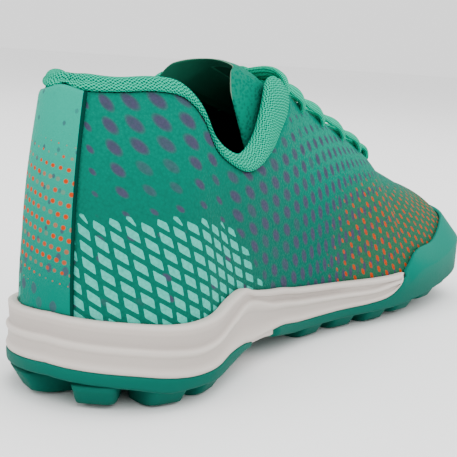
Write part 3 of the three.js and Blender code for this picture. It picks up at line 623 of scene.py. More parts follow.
def print_facts(at, v, points, lengths):
    """For each point: the two coordinates of each lattice and, as the third number, how large
    its lozenges are there, from 0, none, to 1."""
    s = round_the_edge(at) + 0 * v
    x, z = points[..., 0], points[..., 2]
    h = mix(z, 17 + v * lengths, smoothstep(x, 90, 160))
    mint_top = np.interp(x, [0, 36, 60, 73, 80, 96, 108], [63, 62, 56, 46, 39, 28, 18])
    mint_size = smoothstep(mint_top - h, -2.5, 3) * (1 - 0.4 * smoothstep(x, 66, 104))
    above_mint = smoothstep(h - mint_top, -7, 5)
    behind = smoothstep(x, 1, 12) * (1 - smoothstep(x, 60, 100)) * mix(0.45, 1, smoothstep(h, 56, 90))
    front = smoothstep(x, 34, 66) * mix(1, 0.3, smoothstep(x, 130, 225)) * (1 - smoothstep(h, 74, 104))
    specks = 0.5 * smoothstep(mint_top - h, 2, 8) * (1 - smoothstep(x, 96, 108))
    mauve_size = np.maximum(above_mint * np.maximum(behind, front), specks)
    ember_size = smoothstep(x, 112, 178) * (1 - smoothstep(x, 262, 290)) * (1 - smoothstep(h, 44, 82))
    mint = lattice(s, h, MINT_PITCH, period=5.2, slant=0.13, rise=1.6)
    mauve = lattice(s, h, MAUVE_PITCH, period=6.8, slant=0.04, rise=0.6)
    ember = lattice(s, h, EMBER_PITCH, period=4.1, slant=0.25, rise=2.0)
    return {
        "mint": stack(*mint, mint_size),
        "mauve": stack(*mauve, mauve_size),
        "ember": stack(*ember, ember_size),
    }


def lozenge(tree, name, width, height, soft, power, level_out=0):
    """1 inside a lattice's lozenges and 0 outside: the distances of both fractions from the
    cell's middle, over half the width and height times the local size, are raised to a power
    and add up to less than one. level_out times the distance across, added to the one down,
    makes them fall less. Also a random number for each cell, and the size."""
    across, down, size = fact(tree, name).parts()
    u, v = across.math("FRACT") - 0.5, down.math("FRACT") - 0.5
    far = 0
    for off, share in ((u, width), (v + u * level_out, height)):
        half = size.math("MAXIMUM", 0.02) * (share / 2)
        far = (off.math("ABSOLUTE") / half).math("POWER", power) + far
    settings, corner = {"noise_dimensions": "2D"}, {0: across.math("FLOOR"), 1: down.math("FLOOR")}
    cell = across.make("ShaderNodeCombineXYZ", {}, corner)
    chance = cell.make("ShaderNodeTexWhiteNoise", settings, {"Vector": cell})
    return far.step(1 + soft, 1 - soft), chance, size


def paint_print(tree):
    """Green, lighter at the top and front as painted light, with olive under the flecks, then the
    mauve lozenges, the flecks, dusky where they thin out, the mint lozenges, and the knit's grain
    over all."""
    mint, _, mint_size = lozenge(tree, "mint", width=0.7, height=0.62, soft=0.12, power=9.0)
    mauve, mauve_chance, mauve_size = lozenge(
        tree, "mauve", width=0.62, height=0.66, soft=0.7, power=2.1, level_out=0.32
    )
    ember, ember_chance, ember_size = lozenge(
        tree, "ember", width=0.36, height=0.54, soft=0.35, power=2.6
    )
    covered = mint_size.step(0.2, 0.5)
    shown = mauve_chance.step(-0.3, 0.25) * (1 - covered * mauve_chance.step(0.65, 0.5))
    mauve = mauve * shown * mauve_size.step(0.1, 0.45)
    olive = ember_size.step(0.3, 1.0) * 0.45
    x, _, z = place(tree).parts()
    # Painted light: the green turns lighter higher up, and most on the front part near the laces, where the
    # light from above falls.
    high = z.step(0.05, 0.1) * 0.45 + x.step(-0.07, 0.01) * z.step(0.04, 0.08) * 0.7
    base = olive.blend(high.math("MINIMUM", 1.0).blend(GREEN, GREEN_PAINTED_LIGHT), OLIVE)
    base = mauve.blend(base, MAUVE)
    dusk = ember * (1 - ember_size.step(0.25, 0.75))
    base = (dusk * ember_size.step(0.05, 0.25)).blend(base, MAUVE)
    base = (ember * ember_size.step(0.35, 0.8) * ember_chance.step(-0.5, 0.4)).blend(base, EMBER)
    base = (mint * mint_size.step(0.25, 0.5)).blend(base, MINT)
    knit = grain(tree, 1 / 0.0011, "Voronoi")
    shade = (knit * -0.35 + 1.08).math("MINIMUM", 1.0)
    dark = (1 - shade).blend(base, DEEP)
    return {"Base Color": dark, "Roughness": knit * 0.25 + 0.5, "relief": (knit * -1, 0.00022)}


PRINT = material("upper_print", GREEN, 0.6, paint_print, shine=0.03)
LINING = material("dark_lining", ink(6, 34, 27), 0.95, shine=0.05)
# A painted shadow for the groove along the heel strip's side edges.
SEAM_SHADOW = material("seam_shadow", ink(0, 52, 43), 0.95, shine=0.0)

# %% [markdown]
# ## The upper
# A factory cuts the upper flat, stitches it, pulls it over the last and cements it to the sole. So
# it follows the last everywhere: the outer face is the last's surface, the lining the same surface
# one wall deeper. Lace holes are punched out: cells near a hole are left out of both faces, the
# edge of the gap is moved onto a circle, and a wall joins the two faces.


# %% The upper
def seam_share(at):
    """Share of a section that is the printed upper, below the collar's seam. At the back the
    seam rises to a low peak, a bell curve of the length round the edge."""
    peak = SEAM_PEAK * np.exp(-((round_the_edge(at) / SEAM_SPREAD) ** 2))
    return np.where(at >= COLLAR_END, 1, np.minimum(column(SECTIONS, "seam", at) + peak, 1))


def section_at_top(share):
    """The section whose top lies at a share of the length, by halving."""
    low, high = np.full(np.shape(share), COLLAR_END - 0.06), np.full(np.shape(share), THROAT_END)
    return halving(low, high, lambda at: column(SECTIONS, "topAt", at) < share, 24)


def border(cells, count):
    """Edges round a patch of cells: those whose reverse is no edge of the patch. An edge's code
    is its first number times the count of points, plus its second."""
    edges = np.stack([cells, np.roll(cells, -1, 1)], -1).reshape(-1, 2)
    codes, reverse = edges[:, 0] * count + edges[:, 1], edges[:, 1] * count + edges[:, 0]
    return edges[~np.isin(codes, reverse)]


hole_side = np.repeat([INNER, OUTER], len(EYELETS))
hole_at = section_at_top(np.tile(EYELETS, 2))
hole_v = 1 - EYELET_SETBACK / section_length(hole_side, hole_at)
hole_centre = last_point(hole_side, hole_at, hole_v)
hole_normal = last_normal(hole_side, hole_at, hole_v)

UPPER_STATIONS, UPPER_STEPS = 210, 92
SEAM_GROOVE, EDGE_GROOVE, GROOVE_SPREAD = 0.8, 0.45, 1.3
side, at = ring(shares(UPPER_STATIONS, [COLLAR_END, THROAT_END]))
side_grid, at_grid = side[:, None], at[:, None]
steps = np.linspace(0, 1, UPPER_STEPS)
v_grid = seam_share(at_grid) * steps
lengths = section_length(side, at)[:, None]
below_top = (seam_share(at_grid) - v_grid) * lengths
open_top = at_grid < THROAT_END
groove = np.where(at_grid < COLLAR_END, SEAM_GROOVE, EDGE_GROOVE) * open_top
groove = groove * np.exp(-((below_top / GROOVE_SPREAD) ** 2))
outer_face = shell_point(side_grid, at_grid, v_grid, groove)
inner_face = shell_point(side_grid, at_grid, v_grid, WALL)
facts = print_facts(at_grid, v_grid, outer_face, lengths)

count = outer_face[..., 0].size
face_numbers = numbers(outer_face)
cells = net(face_numbers, closed=True)
flat_outer, flat_inner = outer_face.reshape(-1, 3), inner_face.reshape(-1, 3)
gone = np.zeros(len(cells), bool)
for centre, normal in zip(hole_centre, hole_normal):
    middle = flat_outer[cells].mean(1)
    inside = np.linalg.norm(middle - centre, axis=1) < EYELET_RADIUS
    rim = np.unique(border(cells[inside], count))
    for skin, start in ((flat_outer, centre), (flat_inner, centre - normal * WALL)):
        away = skin[rim] - start
        up = (away @ normal)[:, None] * normal
        skin[rim] = start + up + unit(away - up) * EYELET_RADIUS
    gone |= inside
start, end = border(cells[gone], count).T
hole_walls = np.stack([start, end, end + count, start + count], -1)
feather = np.stack([face_numbers[:, 0] + count, face_numbers[:, 0]], 1)
top_edge = np.stack([face_numbers[:, -1], face_numbers[:, -1] + count], 1)
top_walls = net(top_edge, closed=True)
on_ridge = (at >= THROAT_END) & (np.roll(at, -1) >= THROAT_END)
quads = [
    cells[~gone],
    cells[~gone][:, ::-1] + count,
    hole_walls,
    net(feather, closed=True),
    top_walls[~on_ridge],
]
zones = np.repeat([0, 1, 0, 1, 0], [len(q) for q in quads])
piece(
    "printed_upper",
    np.concatenate([flat_outer, flat_inner]),
    np.concatenate(quads),
    [PRINT, LINING],
    ["upper"],
    {name: twice(values) for name, values in facts.items()},
    zones,
)

# %% [markdown]
# ## The heel strip
# A band of smooth film is heat-bonded over the seam at the back of the heel. It lies on the
# upper, a millimetre proud, with rounded edges, and catches more light than the knit beside it.


# %% The heel strip
ROUNDED_CELLS = 2
DOT_WIDTH, DOT_HEIGHT, BLOT_WIDTH, BLOT_HEIGHT = 2.7, 3.6, 5.5, 7.0


def padded_sheet(front, back):
    """A closed body from a front and a back grid. In the last cells before all four edges both
    grids move towards their mean by one less the root of the distance, which rounds the edge."""
    i, j = np.indices(front.shape[:2])
    rows, columns = front.shape[0] - 1, front.shape[1] - 1
    near = np.minimum(np.minimum(i, rows - i), np.minimum(j, columns - j)) / ROUNDED_CELLS
    full = np.sqrt(np.clip(near, 0, 1))[..., None]
    middle = (front + back) / 2
    front, back = mix(middle, front, full), mix(middle, back, full)
    points = np.concatenate([front.reshape(-1, 3), back.reshape(-1, 3)])
    first = numbers(front)
    return points, np.concatenate([net(first), net(first + front[..., 0].size)[:, ::-1]])


across = np.concatenate([np.linspace(-1, 0, 17)[:-1], np.linspace(0, 1, 33)])[:, None]
low_v = share_at_height(np.array(INNER), np.array(0.0), level("rim", 0.0) - 0.5)
reach = np.abs(across) * np.where(across < 0, STRIP_INNER, STRIP_OUTER)
top_v = column(SECTIONS, "seam", 0.0) + SEAM_PEAK * np.exp(-((reach / SEAM_SPREAD) ** 2)) - 0.004
v_strip = mix(low_v, top_v, np.linspace(0, 1, 70)[None])
strip_side = np.where(across < 0, INNER, OUTER) + 0 * v_strip.astype(int)


def narrow(angle):
    """Whether the last is still less wide than the strip at an angle."""
    return np.abs(last_point(strip_side, share_of(angle), v_strip)[..., 1]) < reach


low = np.zeros(strip_side.shape)
strip_at = np.where(across == 0, 0, share_of(halving(low, low + angle_of(HEEL_SHARE), narrow)))
front = shell_point(strip_side, strip_at, v_strip + 0 * across, -GAP - STRIP_THICKNESS)
back = shell_point(strip_side, strip_at, v_strip + 0 * across, -GAP * 0.5)
points, quads = padded_sheet(front, back)
strip_x, strip_z = np.sign(across) * reach + 0 * v_strip, front[..., 2]
dot_size = smoothstep(strip_z, 36, 48) * (1 - smoothstep(strip_z, 72, 92))
dots = stack(strip_x / DOT_WIDTH + strip_z / 14, strip_z / DOT_HEIGHT - strip_x / 18, dot_size)
blot_size = 0.4 + 0.6 * (1 - smoothstep(strip_z, 36, 60))
blots = stack(strip_x / BLOT_WIDTH - strip_z / 10, strip_z / BLOT_HEIGHT + strip_x / 6, blot_size)


def paint_strip(tree):
    """Film that lightens upwards, with faint mauve blots under fine orange dots."""
    dot, dot_chance, size = lozenge(tree, "dots", width=0.54, height=0.42, soft=0.6, power=2.2)
    blot, blot_chance, _ = lozenge(tree, "blots", width=0.6, height=0.64, soft=0.4, power=2.4)
    high = place(tree).parts()[2].step(0.03, 0.1)
    base = high.blend(FILM_LOW, FILM)
    base = (blot * blot_chance.step(0.35, 0.7) * 0.75).blend(base, MAUVE)
    dot = dot * dot_chance.step(-0.2, 0.6) * size.step(0.0, 0.4)
    film, colour = grain(tree, 1 / 0.0009, "Voronoi"), dot.blend(base, EMBER)
    return {"Base Color": colour, "Roughness": film * 0.2 + 0.45, "relief": (film * -1, 0.0001)}


FILM, FILM_LOW = ink(0, 146, 124), ink(0, 106, 90)
STRIP = material("strip_film", FILM, 0.5, paint_strip, shine=0.03)
strip_facts = {"dots": twice(dots), "blots": twice(blots)}
# The two outermost rows on each side of the strip take the dark seam material: a painted shadow of the groove
# beside the strip.
ends = np.zeros([n - 1 for n in front.shape[:2]], int)
ends[[0, 1, -2, -1]] = 1
ends = np.tile(ends.ravel(), 2)
piece("heel_band", points, quads, [STRIP, SEAM_SHADOW], ["heel_strip"], strip_facts, ends)

# %% [markdown]
# ## The collar
# The collar is a tube of foam in a fine knit, sewn to the upper along a groove. Its profile runs
# up the outer band, over the roll and down the lining. The band is narrow at the heel and widens
# into a puffed panel beside the tongue.


# %% The collar
BAND_STEPS, ROLL_STEPS = 14, 14
HEEL_REACH, ROLL_SHARE = 22, 0.42
PUFF, PUFF_LESS_AT_HEEL, PUFF_MORE_IN_PANEL, SEAM_DIP = 0.7, 0.3, 1.3, 0.6
RIB_HEIGHT, STITCH_LENGTH = 1.15, 1.5


def collar_pad(at):
    """Thickness of the roll: the heel's, running out to the front's beside the tongue."""
    return mix(COLLAR_PAD, COLLAR_FRONT_PAD, smoothstep(at, 0.27, 0.35))


def collar_rows(side, at):
    """Closed profiles of the collar: outer band, half turn of the roll, lining, edge, back."""
    length = section_length(side, at)[:, None]
    pad, side, at = collar_pad(at)[:, None], side[:, None], at[:, None]
    roll = pad * ROLL_SHARE
    low = seam_share(at) + GAP / length
    high = np.maximum(1 - roll / length, low + 0.002)
    end = np.minimum(1 - COLLAR_DEPTH / length, seam_share(at) - 0.05)
    heel = np.exp(-((round_the_edge(at) / HEEL_REACH) ** 2))
    panel = smoothstep(at, 0.24, 0.33) * (1 - smoothstep(at, 0.38, 0.42))
    puff = PUFF - PUFF_LESS_AT_HEEL * heel + PUFF_MORE_IN_PANEL * panel
    lean = COLLAR_LEAN * heel
    t = np.linspace(0, 1, BAND_STEPS)[None]
    bulge = lean * t**2 - puff * np.sin(np.pi * t) ** 0.7 + SEAM_DIP * (1 - t) ** 6
    band = shell_point(side, at, mix(low, high, t), bulge)
    turn = np.linspace(0, np.pi, ROLL_STEPS + 1)[None, 1:]
    tip = last_point(side, at, high) - last_point(side, at, high - 0.004)
    over = shell_point(side, at, high + 0 * turn, mix(lean, pad, (1 - np.cos(turn)) / 2))
    over = over + unit(tip) * (roll * np.sin(turn))[..., None]
    back = WALL + GAP * 2.5
    down = np.linspace(0, 1, BAND_STEPS)[None, 1:]
    depth = mix(pad, back + 0.8, smoothstep(down, 0, 1))
    lining = shell_point(side, at, mix(high, end, down), depth)
    rise = np.linspace(0, 1, 5)[None]
    behind = shell_point(side, at, mix(end, low, rise), back)
    return np.concatenate([band, over, lining, behind, band[:, :1]], 1)


spread = shares(170, [], COLLAR_TIP)
side = np.concatenate([np.full(len(spread) - 1, INNER), np.full(len(spread), OUTER)])
at = np.concatenate([spread[:0:-1], spread])
rows = capped(collar_rows(side, at))
knit_facts = {"knit": stack(walk(rows[:, BAND_STEPS])[:, None], walk(rows, 1), 0)}
lined = np.tile(np.arange(rows.shape[1] - 1) >= BAND_STEPS + ROLL_STEPS - 2, len(rows) - 1)


def paint_knit(tree):
    """Ribs along the collar, broken into stitches: a wave upwards times a wave along."""
    along, up, _ = fact(tree, "knit").parts()
    wobble = (along * 0.5).wave(1.3)
    ribs = (up + wobble * 0.18).wave(RIB_HEIGHT) * along.wave(STITCH_LENGTH)
    shade = ribs.step(-0.9, 0.6)
    return {
        "Base Color": shade.blend(ink(0, 74, 54), ink(0, 182, 145)),
        "relief": (shade, 0.0003),
    }


KNIT = material("collar_knit", ink(0, 134, 110), 0.9, paint_knit, shine=0.02)
quads = net(numbers(rows))
collar = piece(
    "knit_collar", rows, quads, [KNIT, LINING], ["collar"], knit_facts, lined
)

# %% [markdown]
# ## The tongue
# The tongue is a thin pad sewn in under the vamp. It arches under the edges of the throat and its
# free end stands up between the collar's ends, so the foot can go in.


# %% The tongue
def tongue_rows(at, depth, count):
    """Rows across the throat: under each edge the last's own surface at a cover, and between
    the edges a straight line with a parabola's crown."""
    at = at[:, None]
    across = np.linspace(-1, 1, count)[None]
    free = 1 - smoothstep(at, TONGUE_LEAVES, 0.5)
    reach = mix(TONGUE_REACH, TONGUE_TOP_REACH, free)

    def under(side, share):
        """A point under one flap, at a share of the reach down from the throat's edge."""
        here = at - TONGUE_SWEEP * free * share
        collared = 1 - smoothstep(here, COLLAR_END - 0.01, COLLAR_END + 0.03)
        cover = mix(WALL + GAP * 3, collar_pad(here) + 2, collared)
        side = side + 0 * share.astype(int) + 0 * here.astype(int)
        here = here + 0 * share
        down = share * reach / section_length(side, here)
        return shell_point(side, here, 1 - down, cover + depth * (1 - 0.4 * share))

    share = np.clip(np.abs(across) * 2 - 1, 0, 1)
    wings = np.where((across < 0)[..., None], under(INNER, share), under(OUTER, share))
    zero = np.zeros((1, 1))
    left, right = under(INNER, zero), under(OUTER, zero)
    crown = TONGUE_CROWN * np.linalg.norm(left - right, axis=-1)
    bridge = mix(left, right, (across + 0.5)[..., None])
    bridge[..., 2] += crown * (1 - (across * 2) ** 2)
    return np.where((np.abs(across) >= 0.5)[..., None], wings, bridge)


def tongue_sheet(depth):
    """The rows under the throat, then rows that run straight to the free end's curve, smoothed
    along their length."""
    count, free_rows = 57, 26
    rows = tongue_rows(np.linspace(TONGUE_FROM, TONGUE_LEAVES, 60), depth, count)
    knots, places = TONGUE_END["across"], np.linspace(-1, 1, count)
    end = stack(*(np.interp(places, knots, TONGUE_END[k]) for k in "xyz"))
    end = end * [SOLE_LENGTH, BALL_WIDTH, INSTEP_HEIGHT]
    for _ in range(40):
        end[1:-1] = (end[:-2] + end[1:-1] * 2 + end[2:]) / 4
    end = end - [depth, 0, 0]
    corner = np.clip((np.abs(places) - 0.7) / 0.3, 0, 1)[:, None]
    end = end - unit(end - rows[-1]) * TONGUE_CORNER * (1 - np.sqrt(1 - corner**2 * 0.98))
    free = np.linspace(0, 1, free_rows + 1)[1:, None, None]
    rows = np.concatenate([rows, mix(rows[-1], end, free)])
    for _ in range(12):
        rows[1:-1] = (rows[:-2] + rows[1:-1] * 2 + rows[2:]) / 4
    return rows


front, back = tongue_sheet(0), tongue_sheet(TONGUE_THICKNESS)
points, quads = padded_sheet(front, back)
wide, long = walk(back, 1).mean(0), walk(back).mean(1)
label = twice(stack((wide - wide[-1] / 2)[None], (long[-1] - long)[:, None], 0))
backing = np.ones([n - 1 for n in front.shape[:2]], int)
backing[:, [0, -1]] = backing[-1] = 2
zones = np.concatenate([np.zeros(backing.size, int), backing.ravel()])


def paint_back(tree):
    """The tongue's back, with a bare label: one slightly slanted square inside another."""
    across, down, _ = fact(tree, "label").parts()
    u = (across + 3 + down * 0.25).math("ABSOLUTE")
    v = (down - 19 - across * 0.25).math("ABSOLUTE")
    patch = u.step(8.4, 8.0) * v.step(9.4, 9.0)
    field = u.step(7.5, 7.1) * v.step(8.5, 8.1)
    colour = patch.blend(ink(18, 84, 64), ink(34, 104, 80))
    return {"Base Color": field.blend(colour, ink(12, 66, 50)), "relief": (patch, 0.0003)}


def paint_mesh(tree):
    """Small round holes of a mesh."""
    shade = grain(tree, 700, "Voronoi").step(0.1, 0.6)
    return {"Base Color": shade.blend(ink(0, 98, 80), ink(0, 114, 92)), "relief": (shade, 0.00015)}


MESH = material("tongue_mesh", ink(0, 108, 88), 0.85, paint_mesh, shine=0.03)
BACKING = material("tongue_backing", ink(18, 80, 62), 0.9, paint_back, shine=0.05)
BINDING = material("tongue_binding", ink(92, 118, 100), 0.85)
finishes = [MESH, BACKING, BINDING]
tongue = piece(
    "tongue_pad", points, quads, finishes, ["tongue"], {"label": label}, zones
)

# %% [markdown]
# ## The insole
# A loose cloth-covered sheet lies on the foam. Only its dark top shows down the collar.


# %% The insole
INSOLE_BEVEL, INSOLE_CHAMFER = 0.8, 1.2


def foot_bed(side, at):
    """Profiles of the insole: middle of the underside, edge, bevel and middle of the top."""
    inset, low = FEATHER_INSET + WALL + 1, level("bed", at) + GAP
    top = low + INSOLE_THICKNESS
    return np.stack(
        [
            middle_point(at, lambda share: level("bed", share) + GAP),
            inset_point(side, at, inset, low),
            inset_point(side, at, inset, top - INSOLE_CHAMFER),
            inset_point(side, at, inset + INSOLE_BEVEL, top),
            middle_point(at, lambda share: level("bed", share) + GAP + INSOLE_THICKNESS),
        ],
        1,
    )


side, at = ring(shares(120))
rows = soften(foot_bed(side, at), radius=0.8)
INSOLE = material("insole_cloth", ink(8, 40, 33), 0.95)
piece("sock_liner", rows, net(numbers(rows), True), [INSOLE], ["insole"])

# %% [markdown]
# ## The midsole
# The midsole is moulded foam, a cup that the upper sits in. Its side has a rolled lip at the top,
# a hollow band, a raised line that swells at the arch, and a second band down to the rubber.


# %% The midsole
FOAM_LIFT, FOAM_FOOT, FOAM_LAP, FOAM_LIP, FOAM_SHOULDER = 0.4, 3.6, 0.3, 0.6, 0.2
LOW_HOLLOW, LOW_HOLLOW_LESS, LINE_INSET = 1.3, 0.4, 0.1
HOLLOW = {INNER: 1.5, OUTER: 2.2}
HOLLOW_LESS = {INNER: 0.3, OUTER: 1.0}
HOLLOW_MORE_IN_FRONT = 0.8
UNDER_RIM, RIM_BULGE, RIM_INSET = 0.8, 0.6, 1.6
FOAM_HEEL, HOLLOW_FROM, HOLLOW_TO = (16, 26), (88, 104), (146, 158)


def foam_rows(side, at):
    """Profiles of the foam: insets from the sole's edge at heights between the rubber's seam,
    the raised line and the rim. Behind the toe guard the side draws back to one inset."""
    rim, seam, bed = level("rim", at), level("seam", at), level("bed", at)
    crease = np.clip(level("crease", at), seam + 1, np.maximum(rim - 1, seam + 1))
    covered = smoothstep(seam - rim, -5, -0.5)
    behind = RUBBER_WALL + GAP * 4

    def outside(inset, z):
        """A point of the outer side, or of the one inset behind the toe guard."""
        return inset_point(side, at, mix(inset, behind, covered), np.minimum(z, rim))

    corner = inset_point(side, at, FEATHER_INSET - GAP, bed)

    def inside(z):
        """A point of the cup's wall, a gap outside the upper, or the cup's corner."""
        wall = shell_point(side, at, share_at_height(side, at, z), -GAP)
        return np.where((z > bed + GAP)[:, None], wall, corner)

    base = root_height(at) + FOAM_LIFT
    x = at * SOLE_LENGTH
    heel = 1 - smoothstep(x, *FOAM_HEEL)
    front = smoothstep(x, *HOLLOW_FROM) * (1 - smoothstep(x, *HOLLOW_TO))
    arch_side = HOLLOW[INNER] - HOLLOW_LESS[INNER] * heel + HOLLOW_MORE_IN_FRONT * front
    hollow = np.where(side < 0, arch_side, HOLLOW[OUTER] - HOLLOW_LESS[OUTER] * heel)
    low_hollow = LOW_HOLLOW - LOW_HOLLOW_LESS * heel
    return np.stack(
        [
            middle_point(at, lambda share: root_height(share) + FOAM_LIFT),
            outside(FOAM_FOOT, base),
            outside(RUBBER_WALL + FOAM_LAP, base + 1),
            outside(RUBBER_WALL + FOAM_LAP, seam - 0.4),
            outside(FOAM_LIP, seam + 0.15),
            outside(FOAM_SHOULDER, seam + 1.5),
            outside(low_hollow, mix(seam, crease, 0.45)),
            outside(low_hollow, mix(seam, crease, 0.74)),
            outside(LINE_INSET, crease - 0.5),
            outside(LINE_INSET, crease + 0.3),
            outside(hollow, np.minimum(crease + 1.5, mix(crease, rim, 0.4))),
            outside(hollow * 0.8, mix(crease, rim, 0.55)),
            outside(UNDER_RIM, rim - 2.3),
            outside(RIM_BULGE, rim - 0.6),
            outside(RIM_INSET, rim),
            inside(rim),
            inside(np.minimum(bed + GAP * 2, rim)),
            corner,
            middle_point(at, lambda share: level("bed", share)),
        ],
        1,
    )


side, at = ring(shares(220))
rows = soften(foam_rows(side, at), radius=0.35)
# How much painted shade darkens each point of the profile, most in the side's hollows;
# soften makes three of each inner one.
painted_shade_weights = np.array([0, 0, 0, 0, 0.4, 0.1, 0.7, 0.7, 0, 0, 1, 0.8, 0.5, 0, 0, 0, 0, 0, 0])
painted_shade_weights = np.concatenate([painted_shade_weights[:1], np.repeat(painted_shade_weights[1:-1], 3), painted_shade_weights[-1:]])
painted_shade_facts = {"painted_fold_shade": stack(painted_shade_weights + 0 * rows[..., 0], 0, 0)}


def paint_foam(tree):
    """Off-white foam with painted shade, a little darker in the hollows and folds of its side."""
    skin = grain(tree, 1500)
    colour = fact(tree, "painted_fold_shade").parts()[0].blend(ink(196, 188, 180), ink(170, 161, 154))
    return {"Base Color": colour, "Roughness": skin * 0.1 + 0.55, "relief": (skin, 0.00004)}


FOAM = material("midsole_foam", ink(190, 182, 174), 0.6, paint_foam)
quads = net(numbers(rows), True)
piece("foam_midsole", rows, quads, [FOAM], ["midsole"], painted_shade_facts)

# %% [markdown]
# ## The outsole
# The outsole is pressed rubber: a plate with a low wall round the foam, which climbs over the toe
# as a guard. Its lugs are blocks with drafted sides, splayed outwards along the edges.


# %% The outsole
SOLE_BEVEL, SOLE_TURN, WALL_SWELL, EDGE_INSET = 2.6, 0.6, 0.3, 0.5
RIM_ROOT, LUG_ROOT, LUG_CORNER = 2.4, 1, 0.36
LUG_RISE = np.array([0, 0, 0.06, 0.16, 0.4, 0.7, 1, 1])
LUG_SHRINK = np.array([-9, -0.7, -0.2, 0, 0, 0, 0, -9])


def notch_inset(side, at):
    """How far the rubber draws back at the arch, where the foam shows down to its base."""
    fall = 1 - smoothstep(at, NOTCH_TO, NOTCH_TO + NOTCH_SLOPE)
    rise = smoothstep(at, NOTCH_FROM - NOTCH_SLOPE, NOTCH_FROM)
    return np.where(side > 0, 0, NOTCH_DEPTH * np.minimum(rise, fall))


def rubber_rows(side, at):
    """Profiles of the plate, its side wall and the toe guard, from the middle of the underside
    round the edge to the middle of the top."""
    pull, bed = notch_inset(side, at), root_height(at) + PLATE_THICKNESS
    seam, rim = level("seam", at), level("rim", at)
    wrapped = seam > rim
    ledge = np.where(wrapped, np.maximum(rim + GAP * 2, bed + 1), seam)

    def low(z):
        """A point of the wall's inner face where the foam stands behind it."""
        return inset_point(side, at, pull + RUBBER_WALL, z)

    def against(z, depth):
        """A point outside the last's surface by a depth, at a height."""
        return shell_point(side, at, share_at_height(side, at, z), -depth)

    def inner(share):
        """A point of the toe guard's inner face, at a share of the way down to its ledge."""
        wall = against(mix(seam, ledge, share), GAP * (1 + 2 * share * (1 - share)))
        return np.where(wrapped[:, None], wall, low(seam))

    edge = inset_point(side, at, pull + EDGE_INSET, seam)
    lip = np.where(wrapped[:, None], against(seam, GAP + RUBBER_WALL), edge)
    return np.stack(
        [
            middle_point(at, root_height),
            inset_point(side, at, pull + SOLE_BEVEL, root_height(at)),
            inset_point(side, at, pull + SOLE_TURN, root_height(at) + 1),
            inset_point(side, at, pull + WALL_SWELL, mix(bed, seam, 0.55)),
            lip,
            inner(0),
            inner(0.35),
            inner(0.7),
            inner(1),
            np.where(wrapped[:, None], low(ledge), low(seam)),
            low(bed),
            middle_point(at, lambda share: root_height(share) + PLATE_THICKNESS),
        ],
        1,
    )


def signed_power(values, power):
    """Values from -1 to 1 raised to a power with their sign kept: on a sine and a cosine a low
    power makes a rounded square of the circle, and a power near one a flattened oval."""
    return np.sign(values) * np.abs(values) ** power


def lug_bodies(place_xy, along, splay, apron):
    """One block for each lug: a rounded rectangle at six heights, grown by its draft, shifted
    outwards by its splay and closed with a fan at both ends. A rim lug's outer face comes out by
    its apron, and its root goes further up, into the side wall."""
    share, turn = place_xy[:, 0] / SOLE_LENGTH, np.linspace(0, 2 * np.pi, 33)
    foot = np.maximum(level("lift", share), 0)
    root = root_height(share) + np.where(apron > 0, RIM_ROOT, LUG_ROOT)
    cosine, sine = (signed_power(wave(turn), LUG_CORNER) for wave in (np.cos, np.sin))
    across = np.stack([-along[:, 1], along[:, 0]], -1)[:, None, None]
    along, place_xy = along[:, None, None], place_xy[:, None, None]
    splay, apron, rise = splay[:, None, None], apron[:, None, None], LUG_RISE[None, :, None]
    grow = LUG_SHRINK[None, :, None] + LUG_DRAFT * rise
    long = np.maximum(LUG_LENGTH / 2 + grow, 0) * cosine
    wide = np.maximum(LUG_WIDTH / 2 + grow, 0) * sine + splay * rise
    wide = wide + apron * np.clip(sine, 0, 1) * np.minimum(rise * 9, 1)
    xy = place_xy + long[..., None] * along + wide[..., None] * across
    z = mix(foot[:, None, None], root[:, None, None], rise)
    return stack(xy[..., 0], xy[..., 1], z)


heel = 1 - smoothstep(LUGS["at"], 0.05, 0.14)
inset = LUG_WIDTH / 2 + LUG_DRAFT + LUG_SPLAY + LUG_EDGE + LUG_HEEL_SETBACK * heel
ends, turns = [], []
for sign in (INNER, OUTER):
    signs = np.full(len(inset), sign)
    ends.append(inset_point(signs, LUGS["at"], inset + notch_inset(signs, LUGS["at"]), 0)[:, :2])
    n = outline_normal(signs, LUGS["at"])
    turns.append(np.stack([n[:, 1], -n[:, 0]], -1))
middles = [
    mix(ends[0][i], ends[1][i], k / (n + 1))
    for i, n in enumerate(LUGS["middle"].astype(int))
    for k in range(1, n + 1)
]
lug_xy = np.concatenate([*ends, middles])
lug_along = np.concatenate([*turns, np.tile([1.0, 0.0], (len(middles), 1))])
lug_splay = np.concatenate([np.full(2 * len(inset), LUG_SPLAY), np.zeros(len(middles))])
lug_apron = np.concatenate([np.tile(LUG_APRON + LUG_HEEL_SETBACK * heel, 2), np.zeros(len(middles))])
lugs = lug_bodies(lug_xy, lug_along, lug_splay, lug_apron)
side, at = ring(shares(200, [THROAT_END]))
rows = soften(rubber_rows(side, at), radius=0.7)
lug_points, lug_quads = joined(lugs, rows[..., 0].size)
points = np.concatenate([rows.reshape(-1, 3), lug_points])
quads = np.concatenate([net(numbers(rows), True), lug_quads])


def paint_rubber(tree):
    """Rubber that lightens from the lugs to the wall above them."""
    skin, high = grain(tree, 900), place(tree).parts()[2].step(0.008, 0.03)
    colour = high.blend(ink(0, 82, 70), ink(0, 110, 94))
    return {"Base Color": colour, "Roughness": skin * 0.15 + 0.5, "relief": (skin, 0.00005)}


RUBBER = material("outsole_rubber", ink(0, 102, 86), 0.5, paint_rubber, shine=0.05)
piece("rubber_outsole", points, quads, [RUBBER], ["outsole"])

# %% [markdown]
# ## The laces
# One flat lace zigzags from hole to hole. Each strand comes up out of a hole, crosses the tongue
# and goes down under the other edge, where it comes up again through the next hole. A strand is a
# flat oval swept along a smooth path.


# %% The laces
STRAND_STEPS, LACE_EDGE = 90, 0.8
WEAVE_LENGTH, WEAVE_GIRTH, PLAIT = 60, 12, 1.2
HOLE_LIFT, EDGE_LIFT, ARCH, CROSSING_LIFT, BAR_FORWARD = 0.2, 0.3, 0.8, 0.9, 2


